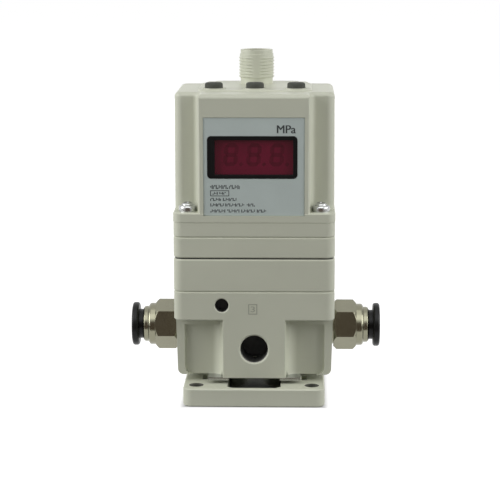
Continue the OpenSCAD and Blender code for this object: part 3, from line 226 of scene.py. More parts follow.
# Finishes: the base colour and how many times as light it is, the range of roughness, how far the shade
# wanders and over what length, the size and the relief of the grain, and what sets the shader itself
FINISHES = {
    "cast_paint": dict(base="paint", rough=(0.42, 0.52), cloud=(0.97, 1.03), cloud_mm=25, grain_mm=0.7,
                       bump=0.12),
    # The port mark's finish is paint darkened to 0.6, painted shade that stands in for the shade in its
    # engraved lines
    "engraving": dict(base="paint", times=0.6, rough=(0.5, 0.6), cloud=(0.95, 1.05), cloud_mm=4,
                      grain_mm=0.4, bump=0.08),
    # Painted shade: paint at a fifth of its lightness on the mounting holes' walls, standing in for the
    # shade inside them
    "bare_bore": dict(base="paint", times=0.2, rough=(0.45, 0.6), cloud=(0.8, 1.2), cloud_mm=2,
                      grain_mm=0.3, bump=0.08),
    # Painted shade: a dark finish on the tapped ports' inner faces that stands in for the shade deep inside
    # them
    "tapped_bore": dict(base="bore", rough=(0.4, 0.55), cloud=(0.8, 1.3), cloud_mm=2, grain_mm=0.25,
                        bump=0.08, level=0.3),
    "satin_moulding": dict(base="moulding", rough=(0.38, 0.46), cloud=(0.98, 1.02), cloud_mm=30,
                           grain_mm=0.35, bump=0.06),
    "label_film": dict(base="film", rough=(0.40, 0.50), cloud=(0.97, 1.03), cloud_mm=9, grain_mm=0.25,
                       bump=0.04),
    "label_ink": dict(base="ink", rough=(0.45, 0.6), cloud=(0.8, 1.25), cloud_mm=0.6, grain_mm=0.12,
                      bump=0.05),
    "line_ink": dict(base="ink", times=2.0, rough=(0.45, 0.6), cloud=(0.6, 1.4), cloud_mm=0.35,
                     grain_mm=0.12, bump=0.05),
    "black_plastic": dict(base="black", rough=(0.28, 0.38), cloud=(0.85, 1.2), cloud_mm=6, grain_mm=0.3,
                          bump=0.08, level=0.22),
    "key_plastic": dict(base="key", rough=(0.6, 0.7), cloud=(0.93, 1.07), cloud_mm=3, grain_mm=0.25,
                        bump=0.08, level=0.08),
    "lens_plastic": dict(base="lens", rough=(0.04, 0.08), cloud=(0.9, 1.1), cloud_mm=8, grain_mm=1.5,
                         bump=0.01, coat=0.4),
    "segment_ink": dict(base="lens", times=0.7, rough=(0.04, 0.08), cloud=(0.92, 1.08), cloud_mm=2,
                        grain_mm=0.4, bump=0.01, coat=0.4),
    "turned_nickel": dict(base="nickel", rough=(0.16, 0.26), cloud=(0.96, 1.03), cloud_mm=5, grain_mm=0.9,
                          bump=0.05, stretch=(14, 1, 1), metal=1.0),
    "zinc_plate": dict(base="zinc", rough=(0.16, 0.24), cloud=(0.94, 1.05), cloud_mm=3, grain_mm=0.5,
                       bump=0.02, metal=1.0),
    "spring_steel": dict(base="zinc", times=0.8, rough=(0.2, 0.3), cloud=(0.92, 1.05), cloud_mm=2,
                         grain_mm=0.3, bump=0.04, metal=1.0),
    "pin_brass": dict(base="brass", rough=(0.18, 0.3), cloud=(0.94, 1.05), cloud_mm=3, grain_mm=0.4,
                      bump=0.04, metal=1.0),
    "seal_rubber": dict(base="rubber", rough=(0.55, 0.7), cloud=(0.85, 1.2), cloud_mm=4, grain_mm=0.4,
                        bump=0.1),
    "board_resist": dict(base="board", rough=(0.25, 0.35), cloud=(0.85, 1.15), cloud_mm=2, grain_mm=0.3,
                         bump=0.05, coat=0.3),
}
# The noise's detail, the part of its range that is used, and the relief's height as a share of the grain
NOISE_DETAIL = 3.0
NOISE_LOW, NOISE_HIGH = 0.3, 0.7
RELIEF = 0.2
# The sockets of a Mix node that mixes colours
MIX_FACTOR, MIX_FIRST, MIX_SECOND, MIX_RESULT = 0, 6, 7, 2


def link(tree, source, target):
    """Joins two sockets."""
    tree.links.new(source, target)


def noise(tree, scale, stretch=(1, 1, 1)):
    """Noise on the piece's own coordinates, with features of about 1/scale metres."""
    place = tree.nodes.new("ShaderNodeTexCoord")
    mapping = tree.nodes.new("ShaderNodeMapping")
    mapping.inputs["Scale"].default_value = stretch
    texture = tree.nodes.new("ShaderNodeTexNoise")
    texture.inputs["Scale"].default_value = scale
    texture.inputs["Detail"].default_value = NOISE_DETAIL
    link(tree, place.outputs["Object"], mapping.inputs["Vector"])
    link(tree, mapping.outputs["Vector"], texture.inputs["Vector"])
    return texture.outputs["Fac"]


def spread(tree, value, low, high):
    """Maps the middle of a noise value to low..high."""
    node = tree.nodes.new("ShaderNodeMapRange")
    node.inputs["From Min"].default_value = NOISE_LOW
    node.inputs["From Max"].default_value = NOISE_HIGH
    node.inputs["To Min"].default_value = low
    node.inputs["To Max"].default_value = high
    link(tree, value, node.inputs["Value"])
    return node.outputs["Result"]


def shade(base, factor):
    """The base colour some times as light, with full opacity."""
    return tuple(min(1.0, c * factor) for c in base) + (1.0,)


def tint(tree, value, base, low, high):
    """Colour that wanders between a darker and a lighter shade of the base."""
    node = tree.nodes.new("ShaderNodeMix")
    node.data_type = "RGBA"
    node.inputs[MIX_FIRST].default_value = shade(base, low)
    node.inputs[MIX_SECOND].default_value = shade(base, high)
    link(tree, spread(tree, value, 0, 1), node.inputs[MIX_FACTOR])
    return node.outputs[MIX_RESULT]


def finish(name):
    """The finish of that name, which is made at its first use."""
    full = "regulator_" + name
    if full not in bpy.data.materials:
        make_finish(full, **FINISHES[name])
    return bpy.data.materials[full]


def make_finish(name, base, rough, cloud, cloud_mm, grain_mm, bump, times=1, stretch=(1, 1, 1), metal=0.0,
                level=0.5, coat=0.0):
    """Makes a finish with slow changes of shade, a fine grain in its gloss and a slight relief."""
    tone = tuple(c * times for c in getattr(colours(), base))
    mat = bpy.data.materials.new(name)
    mat.use_nodes = True
    mat.diffuse_color = tone + (1.0,)
    tree = mat.node_tree
    shader = tree.nodes["Principled BSDF"]
    slow = noise(tree, 1 / (cloud_mm * MM))
    fine = noise(tree, 1 / (grain_mm * MM), stretch)
    link(tree, tint(tree, slow, tone, *cloud), shader.inputs["Base Color"])
    link(tree, spread(tree, fine, *rough), shader.inputs["Roughness"])
    relief = tree.nodes.new("ShaderNodeBump")
    relief.inputs["Strength"].default_value = bump
    relief.inputs["Distance"].default_value = grain_mm * MM * RELIEF
    link(tree, fine, relief.inputs["Height"])
    link(tree, relief.outputs["Normal"], shader.inputs["Normal"])
    shader.inputs["Metallic"].default_value = metal
    shader.inputs["Specular IOR Level"].default_value = level
    shader.inputs["Coat Weight"].default_value = coat


# Modelling: up to what turn faces join as flat, from what turn edges are rounded and from what turn they
# look sharp, and in how many steps edges are rounded and profiles are spun
FLAT, ROUNDED, SHARP = math.radians(0.6), math.radians(30), math.radians(32)
ROUND_STEPS, SPIN_STEPS = 2, 72


def copy_of(node):
    """A node's surface as one joined mesh with whole flat faces."""
    bm = bmesh.new()
    bm.from_mesh(NODES[node].data)
    bmesh.ops.remove_doubles(bm, verts=bm.verts, dist=2 * WELD)
    bmesh.ops.dissolve_limit(bm, angle_limit=FLAT, verts=bm.verts, edges=bm.edges)
    return bm


def soften(bm, width, where=None):
    """Rounds the sharper edges, where the test on their middle in millimetres says so."""
    edges = [e for e in bm.edges if e.is_manifold and e.calc_face_angle(0) > ROUNDED
             and (where is None or where((e.verts[0].co + e.verts[1].co) / 2 / MM))]
    bmesh.ops.bevel(bm, geom=edges, offset=width, offset_type="OFFSET", affect="EDGES",
                    segments=ROUND_STEPS, profile=0.5, material=-1, clamp_overlap=True)


def spun(profile):
    """A closed profile of (radius, height) points in millimetres, turned round Z."""
    bm = bmesh.new()
    verts = [bm.verts.new((r * MM, 0, h * MM)) for r, h in profile]
    edges = [bm.edges.new(pair) for pair in zip(verts, verts[1:])]
    bmesh.ops.spin(bm, geom=verts + edges, cent=(0, 0, 0), axis=(0, 0, 1), angle=math.tau,
                   steps=SPIN_STEPS, use_merge=True)
    bmesh.ops.remove_doubles(bm, verts=bm.verts, dist=WELD)
    bmesh.ops.recalc_face_normals(bm, faces=bm.faces)
    return bm


def block(bm, low, high):
    """Adds a box between two corners in millimetres and returns its vertices."""
    low, high = Vector(low) * MM, Vector(high) * MM
    matrix = Matrix.Translation((low + high) / 2) @ Matrix.Diagonal((*(high - low), 1))
    return bmesh.ops.create_cube(bm, size=1, matrix=matrix)["verts"]


def frame_lines(bm, low, high, w, front, t):
    """Adds an upright frame between two corners in millimetres, w wide and t proud of a front."""
    (x0, z0), (x1, z1) = low, high
    ring, hole = bmesh.new(), bmesh.new()
    block(ring, (x0, front - t, z0), (x1, front, z1))
    block(hole, (x0 + w, front - 2 * t, z0 + w), (x1 - w, front + t, z1 - w))
    join(bm, combine(ring, hole, "DIFFERENCE"))


def letters(bm, body, low, high, front, t, bold=0):
    """Adds upright letters between two corners in millimetres, t proud of a front, with bold wider stems."""
    curve = bpy.data.curves.new("letters", "FONT")
    curve.body = body
    # Any depth will do, because the letters are scaled to their box
    curve.extrude = 0.01
    text = bpy.data.objects.new("letters", curve)
    bpy.context.scene.collection.objects.link(text)
    bpy.context.view_layer.update()
    part = bmesh.new()
    evaluated = text.evaluated_get(bpy.context.evaluated_depsgraph_get())
    part.from_mesh(evaluated.to_mesh())
    evaluated.to_mesh_clear()
    bpy.data.objects.remove(text)
    bpy.data.curves.remove(curve)
    bmesh.ops.remove_doubles(part, verts=part.verts, dist=10 * WELD)
    near = Vector([min(v.co[i] for v in part.verts) for i in range(3)])
    size = Vector([max(v.co[i] for v in part.verts) for i in range(3)]) - near
    wide, tall = (high[0] - low[0] - bold) * MM, (high[1] - low[1]) * MM
    fit = Matrix.Diagonal((wide / size.x, tall / size.y, t * MM / size.z, 1)) @ Matrix.Translation(-near)
    stand = Matrix.Translation(Vector((low[0], front, low[1])) * MM) @ Matrix.Rotation(math.pi / 2, 4, "X")
    part.transform(stand @ fit)
    if bold:
        again = part.copy()
        bmesh.ops.translate(again, vec=(bold * MM, 0, 0), verts=again.verts)
        part = combine(part, again, "UNION")
    join(bm, part)


def join(bm, part):
    """Adds a bmesh to another and frees it."""
    mesh = bpy.data.meshes.new("join")
    part.to_mesh(mesh)
    part.free()
    bm.from_mesh(mesh)
    bpy.data.meshes.remove(mesh)


def piece(name, bm, material, body="regulator", stands_for=(), weighted=True, second=None):
    """Makes an object of a bmesh, smooth but for its sharp edges, that rides on a body if one is given."""
    for face in bm.faces:
        face.smooth = True
    for edge in bm.edges:
        edge.smooth = edge.is_manifold and edge.calc_face_angle(0) < SHARP
    mesh = bpy.data.meshes.new(name)
    bm.to_mesh(mesh)
    bm.free()
    mesh.materials.append(material)
    if second:
        mesh.materials.append(second)
    obj = bpy.data.objects.new(name, mesh)
    bpy.context.scene.collection.objects.link(obj)
    if weighted:
        modifier = obj.modifiers.new("even_normals", "WEIGHTED_NORMAL")
        modifier.keep_sharp = True
    if body:
        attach(obj, body)
    if stands_for:
        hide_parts(*stands_for)
    return obj


def dress(node, material, width, body="regulator", where=None, bores=None, bore_shade_finish=None):
    """Replaces a node by a copy with soft edges, and a second, darker finish of painted shade on faces
    wholly in its bores.
    """
    bm = copy_of(node)
    soften(bm, width, where)
    if bores:
        for face in bm.faces:
            face.material_index = int(all(bores(v.co / MM) for v in face.verts))
    piece(node + "_dressed", bm, material, body, (node,), second=bore_shade_finish)


def combine(bm, other, operation):
    """Joins one closed bmesh to another or takes it out, and returns the result."""
    objects = []
    for label, part in (("kept", bm), ("other", other)):
        mesh = bpy.data.meshes.new(label)
        part.to_mesh(mesh)
        part.free()
        obj = bpy.data.objects.new(label, mesh)
        bpy.context.scene.collection.objects.link(obj)
        objects.append(obj)
    modifier = objects[0].modifiers.new("combine", "BOOLEAN")
    modifier.operation = operation
    modifier.solver = "EXACT"
    modifier.object = objects[1]
    bpy.context.view_layer.update()
    result = bmesh.new()
    evaluated = objects[0].evaluated_get(bpy.context.evaluated_depsgraph_get())
    result.from_mesh(evaluated.to_mesh())
    evaluated.to_mesh_clear()
    for obj in objects:
        mesh = obj.data
        bpy.data.objects.remove(obj)
        bpy.data.meshes.remove(mesh)
    return result


def paint_nodes(material, *nodes):
    """Gives CAD nodes that stay as they are a finish of their own."""
    for node in nodes:
        slots = NODES[node].data.materials
        if not slots:
            slots.append(material)
        for i in range(len(slots)):
            slots[i] = material


class RegulatorOperator:
    """What all the operators share."""

    bl_options = {"REGISTER"}

    def execute(self, context):
        """Builds the operator's pieces."""
        self.build()
        return {"FINISHED"}


class REGULATOR_OT_bracket(RegulatorOperator, bpy.types.Operator):
    """Dress the mounting bracket, the retaining plate and the valve guide"""

    bl_idname = "regulator.bracket"
    bl_label = "Bracket"

    def build(self):
        s = sizes()

        def holes(p):
            return math.hypot(abs(p.x) - MOUNT_HOLE_X, abs(p.y) - MOUNT_HOLE_Y) < MOUNT_HOLE_REACH

        # The mounting holes' walls get a dark finish, painted shade for the shade inside them
        dress("mounting_bracket", finish("cast_paint"), s.cast_edge, bores=holes,
              bore_shade_finish=finish("bare_bore"))
        dress("retaining_plate", finish("zinc_plate"), s.fine_edge)
        dress("valve_guide", finish("zinc_plate"), s.fine_edge,
              where=lambda p: p.z < GUIDE_NECK_Z)


class REGULATOR_OT_layers(RegulatorOperator, bpy.types.Operator):
    """Dress the valve body and the layers that stand on it"""

    bl_idname = "regulator.layers"
    bl_label = "Body and layers"

    def build(self):
        s = sizes()

        def reach(p):
            return max(abs(p.x), abs(p.y))

        def ports(p):
            inside = any(math.hypot(p.x - x, p.z - z) < r + PORT_ROOM for x, z, r in PORTS)
            return inside and PORT_FRONT_Y < p.y < PORT_END_Y

        # The tapped ports' inner faces get a dark finish, painted shade for the shade inside them
        dress("valve_body", finish("cast_paint"), s.cast_edge,
              where=lambda p: reach(p) > BODY_REACH, bores=ports, bore_shade_finish=finish("tapped_bore"))
        self.mark(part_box("diaphragm_housing")[0].y / MM)
        for node in ("diaphragm_housing", "pilot_block"):
            dress(node, finish("cast_paint"), s.cast_edge / 2,
                  where=lambda p: reach(p) > LAYER_REACH)
        dress("board_base", finish("satin_moulding"), s.cast_edge / 2,
              where=lambda p: reach(p) > LAYER_REACH and p.z < BASE_CHAMFER_Z)

    def mark(self, front):
        """Makes a small frame with a numeral above the exhaust port, a thin film whose darker paint is
        painted shade for engraved lines.
        """
        bm = bmesh.new()
        frame_lines(bm, MARK_LOW, MARK_HIGH, MARK_LINE, front, MARK_T)
        low = [a + MARK_MARGIN for a in MARK_LOW]
        high = [a - MARK_MARGIN for a in MARK_HIGH]
        letters(bm, "3", low, high, front, MARK_T)
        piece("port_mark", bm, finish("engraving"), weighted=False)


class REGULATOR_OT_cover(RegulatorOperator, bpy.types.Operator):
    """Dress the moulded cover"""

    bl_idname = "regulator.cover"
    bl_label = "Cover"

    def build(self):
        def outside(p):
            reach = max(abs(p.x), abs(p.y))
            foot = p.z < FOOT_Z and reach > FOOT_REACH
            return foot or p.z > PANEL_Z and (reach > PANEL_REACH or p.z > ROOF_Z)

        dress("cover", finish("satin_moulding"), sizes().moulded_edge, where=outside)


class REGULATOR_OT_label(RegulatorOperator, bpy.types.Operator):
    """Dress the front label and print it"""

    bl_idname = "regulator.label"
    bl_label = "Label and print"

    def build(self):
        s = sizes()
        dress("faceplate", finish("label_film"), s.fine_edge)
        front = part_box("faceplate")[0].y / MM
        bm = bmesh.new()
        unit_high = (UNIT_RIGHT, UNIT_LOW[1] + s.unit_h / MM)
        letters(bm, "MPa", UNIT_LOW, unit_high, front, s.print_t / MM, s.unit_bold / MM)
        piece("unit_print", bm, finish("label_ink"), weighted=False)
        self.lines(front, s)

    def lines(self, front, s):
        """Makes rows of plain strokes and an empty field where a label lists its ratings."""
        bm = bmesh.new()
        t = s.print_t / MM
        for z, h, groups in ROWS:
            for x, count in groups:
                for i in range(count):
                    w, low, high = STROKES[(i + count) % len(STROKES)]
                    block(bm, (x, front - t, z + (low - 0.5) * h), (x + w, front, z + (high - 0.5) * h))
                    x += w + STROKE_GAP
        piece("rating_dashes", bm, finish("line_ink"), weighted=False)
        bm = bmesh.new()
        frame_lines(bm, FIELD_LOW, FIELD_HIGH, FIELD_LINE, front, t)
        piece("rating_field", bm, finish("label_ink"), weighted=False)


class REGULATOR_OT_display(RegulatorOperator, bpy.types.Operator):
    """Dress the display's frame and lens and set the digits on it"""

    bl_idname = "regulator.display"
    bl_label = "Display"

    def build(self):
        s = sizes()
        dress("display_bezel", finish("black_plastic"), s.fine_edge)
        dress("display_lens", finish("lens_plastic"), s.lens_edge)
        low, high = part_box("display_lens")
        front = low.y / MM
        middle = (low.z + high.z) / 2 / MM + DIGITS_UP
        bm = bmesh.new()
        for x in (-1, 0, 1):
            self.digit(bm, x * s.digit_pitch / MM, middle, front, s)
        piece("display_digits", bm, finish("segment_ink"), weighted=False)

    def digit(self, bm, x, z, front, s):
        """Adds seven segments and a point."""
        h, w, t = s.digit_h / MM, s.digit_w / MM, s.segment_w / MM
        part = bmesh.new()
        gap = SEGMENT_GAP
        for dz in (-h / 2 + t / 2, 0, h / 2 - t / 2):
            self.bar(part, (t / 2 + gap - w / 2, dz - t / 2), (w / 2 - t / 2 - gap, dz + t / 2))
        for side in (-1, 1):
            for low, high in ((t / 2 + gap - h / 2, -gap), (gap, h / 2 - t / 2 - gap)):
                dx = side * (w / 2 - t / 2)
                self.bar(part, (dx - t / 2, low), (dx + t / 2, high))
        self.bar(part, (w / 2 + POINT_GAP, -h / 2), (w / 2 + POINT_GAP + t, t - h / 2))
        lean = Matrix.Identity(4)
        lean[0][2] = math.tan(s.digit_lean)
        part.transform(Matrix.Translation((x * MM, front * MM, z * MM)) @ lean)
        join(bm, part)

    def bar(self, bm, low, high):
        """Adds a flat bar with cut corners."""
        verts = block(bm, (low[0], -SEGMENT_T, low[1]), (high[0], 0, high[1]))
        edges = {e for v in verts for e in v.link_edges}
        corners = [e for e in edges if abs((e.verts[0].co - e.verts[1].co).y) > 2 * WELD]
        short = min(high[0] - low[0], high[1] - low[1])
        bmesh.ops.bevel(bm, geom=corners, offset=SEGMENT_TIP * short * MM, offset_type="OFFSET",
                        affect="EDGES", segments=1, profile=0.5, material=-1)


class REGULATOR_OT_keys(RegulatorOperator, bpy.types.Operator):
    """Dress the three keys on the roof"""

    bl_idname = "regulator.keys"
    bl_label = "Keys"

    def build(self):
        for side in ("left", "middle", "right"):
            node = "key_" + side
            dress(node, finish("key_plastic"), sizes().fine_edge, body=node)


class REGULATOR_OT_connector(RegulatorOperator, bpy.types.Operator):
    """Dress the connector and ring it with the ridges of its thread"""

    bl_idname = "regulator.connector"
    bl_label = "Connector"

    def build(self):
        s = sizes()
        dress("connector_shell", finish("satin_moulding"), s.fine_edge,
              where=lambda p: p.z > DECK_Z)
        low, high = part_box("connector_shell")
        centre = (low + high) / 2
        bm = bmesh.new()
        r, h, pitch = CONNECTOR_R, s.thread_h / MM, s.thread_pitch / MM
        foot, top = RIDGE_FOOT * pitch, RIDGE_TOP * pitch
        start = high.z / MM - THREAD_L
        for turn in range(s.thread_turns):
            z = start + turn * pitch
            join(bm, spun(((r - FOOT_SINK, z - foot), (r + h, z - top), (r + h, z + top),
                           (r - FOOT_SINK, z + foot), (r - FOOT_SINK, z - foot))))
        for v in bm.verts:
            away = abs(math.degrees(math.atan2(v.co.x, -v.co.y)))
            out = math.hypot(v.co.x, v.co.y) / MM
            if out > r:
                rise = min(1, max(0, (away - FADE_FROM) / FADE_OVER))
                v.co.xy *= (r - TOP_SINK + (h + TOP_SINK) * rise) / out
        bmesh.ops.translate(bm, vec=(centre.x, centre.y, 0), verts=bm.verts)
        piece("connector_thread_ridges", bm, finish("satin_moulding"))


class REGULATOR_OT_fittings(RegulatorOperator, bpy.types.Operator):
    """Dress the two tube fittings and their release rings"""

    bl_idname = "regulator.fittings"
    bl_label = "Tube fittings"

    def build(self):
        s = sizes()
        for side in ("left", "right"):
            node = "fitting_" + side
            bm = copy_of(node)
            low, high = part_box(node)
            turn = Matrix.Rotation(-s.hex_turn, 3, "X")
            bmesh.ops.rotate(bm, cent=(low + high) / 2, matrix=turn, verts=bm.verts)
            soften(bm, s.fine_edge, where=lambda p: HEX_X < abs(p.x) < NECK_END_X)
            piece(node + "_dressed", bm, finish("turned_nickel"), stands_for=(node,))
            dress("release_ring_" + side, finish("black_plastic"), s.fine_edge,
                  body="release_" + side)


class REGULATOR_OT_screws(RegulatorOperator, bpy.types.Operator):
    """Crown the cover screws and cut cross recesses into all the heads"""

    bl_idname = "regulator.screws"
    bl_label = "Screws"

    def build(self):
        s = sizes()
        self.drive("cover_screws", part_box("cover_screws")[1].z / MM, 1, s.dome_h, s)
        self.drive("bracket_screws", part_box("bracket_screws")[0].z / MM, -1, 0, s)

    def drive(self, node, face, way, dome, s):
        """Replaces a node of screws by a copy with crowned heads and cross recesses."""
        bm = copy_of(node)
        soften(bm, s.fine_edge, where=lambda p: abs(p.z - face) < HEAD_H)
        tops = self.heads(bm, face)
        places = [top.calc_center_median() / MM for top in tops]
        if dome:
            self.crown(bm, tops, dome)
        cutter = bmesh.new()
        for p in places:
            join(cutter, self.cross(p.x, p.y, face + way * dome / MM, way, s))
        bm = combine(bm, cutter, "DIFFERENCE")
        piece(node + "_driven", bm, finish("zinc_plate"), stands_for=(node,))

    def crown(self, bm, tops, height):
        """Raises flat round faces to domes, ring by ring."""
        for top in tops:
            middle = top.calc_center_median()
            reach = max((v.co - middle).length for v in top.verts)
            rings = [(reach * math.cos(a), height * math.sin(a)) for a in map(math.radians, CROWN_ANGLES)]
            for (r0, z0), (r1, z1) in zip(rings, rings[1:]):
                bmesh.ops.inset_individual(bm, faces=[top], thickness=r0 - r1, depth=z1 - z0,
                                           use_even_offset=True)

    def cross(self, x, y, face, way, s):
        """A tapered cross that reaches from above a head into it."""
        bm = bmesh.new()
        w, reach, lead = s.drive_w / 2, DRIVE_REACH * MM, DRIVE_LEAD * MM
        outline = ((reach, -w), (reach, w), (w, w), (w, reach), (-w, reach), (-w, w),
                   (-reach, w), (-reach, -w), (-w, -w), (-w, -reach), (w, -reach), (w, -w))
        base = bm.faces.new([bm.verts.new((a, b, way * lead)) for a, b in outline])
        grown = bmesh.ops.extrude_face_region(bm, geom=[base])["geom"]
        deep = [v for v in grown if isinstance(v, bmesh.types.BMVert)]
        bmesh.ops.translate(bm, vec=(0, 0, -way * (s.drive_d + lead)), verts=deep)
        bmesh.ops.scale(bm, vec=(DRIVE_TAPER, DRIVE_TAPER, 1), verts=deep)
        bmesh.ops.recalc_face_normals(bm, faces=bm.faces)
        bmesh.ops.translate(bm, vec=Vector((x, y, face)) * MM, verts=bm.verts)
        return bm

    def heads(self, bm, face):
        """The largest flat face on each quarter's head."""
        best = {}
        for f in bm.faces:
            p = f.calc_center_median() / MM
            quarter = (p.x > 0, p.y > 0)
            larger = quarter not in best or f.calc_area() > best[quarter].calc_area()
            if larger and abs(p.z - face) < FACE_ROOM:
                best[quarter] = f
        return list(best.values())


class REGULATOR_OT_diaphragm(RegulatorOperator, bpy.types.Operator):
    """Make the diaphragm of sectors, each cut across into bands between the stem's plates and the clamped
    rim
    """

    bl_idname = "regulator.diaphragm"
    bl_label = "Diaphragm"

    def build(self):
        half = math.pi / sizes().sectors
        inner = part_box("upper_plate")[1].x + PLATE_ROOM * MM
        outer = CHAMBER_R * MM * math.cos(half)
        for i in range(sizes().sectors):
            turn = 2 * half * i
            out = Vector((math.cos(turn), math.sin(turn), 0))
            bm = self.sector(turn, half, out, inner, outer)
            obj = piece(f"diaphragm_sector_{i + 1}", bm, finish("seal_rubber"), body=None,
                        stands_for=("diaphragm",), weighted=False)
            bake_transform(obj)

    def sector(self, turn, half, out, inner, outer):
        """A closed wedge of the diaphragm, divided across where it bends."""
        bm = copy_of("diaphragm")
        for side in (-1, 1):
            away = turn + side * (half + math.pi / 2)
            self.split(bm, (0, 0, 0), (math.cos(away), math.sin(away), 0), True)
            bmesh.ops.holes_fill(bm, edges=[e for e in bm.edges if e.is_boundary])
        for step in range(BENDS + 1):
            self.split(bm, out * (inner + (outer - inner) * step / BENDS), out, False)
        bmesh.ops.recalc_face_normals(bm, faces=bm.faces)
        return bm

    def split(self, bm, point, normal, clear):
        """Cuts all faces at a plane, and takes away what lies in front of it where asked."""
        bmesh.ops.bisect_plane(bm, geom=[*bm.verts, *bm.edges, *bm.faces], dist=CUT_ROOM, plane_co=point,
                               plane_no=normal, clear_outer=clear)


class REGULATOR_OT_spring(RegulatorOperator, bpy.types.Operator):
    """Make the valve spring's coil as a piece with a mesh of its own"""

    bl_idname = "regulator.spring"
    bl_label = "Valve spring"

    def build(self):
        bm = copy_of("valve_spring")
        obj = piece("valve_spring_coil", bm, finish("spring_steel"),
                    stands_for=("valve_spring",), weighted=False)
        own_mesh(obj)


class REGULATOR_OT_inside(RegulatorOperator, bpy.types.Operator):
    """Finish the pieces that lie inside"""

    bl_idname = "regulator.inside"
    bl_label = "Inner pieces"

    def build(self):
        paint_nodes(finish("seal_rubber"), "guide_seal", "stack_gasket", "tube_seal_left",
                    "tube_seal_right")
        paint_nodes(finish("black_plastic"), "display_module", "key_switches", "connector_insert",
                    "supply_solenoid", "exhaust_solenoid")
        paint_nodes(finish("zinc_plate"), "stack_screws", "pressure_sensor", "upper_plate", "lower_plate",
                    "diaphragm_nut", "valve_stem")
        paint_nodes(finish("pin_brass"), "connector_pins", "collet_left", "collet_right", "supply_valve")
        paint_nodes(finish("board_resist"), "control_board", "key_board")


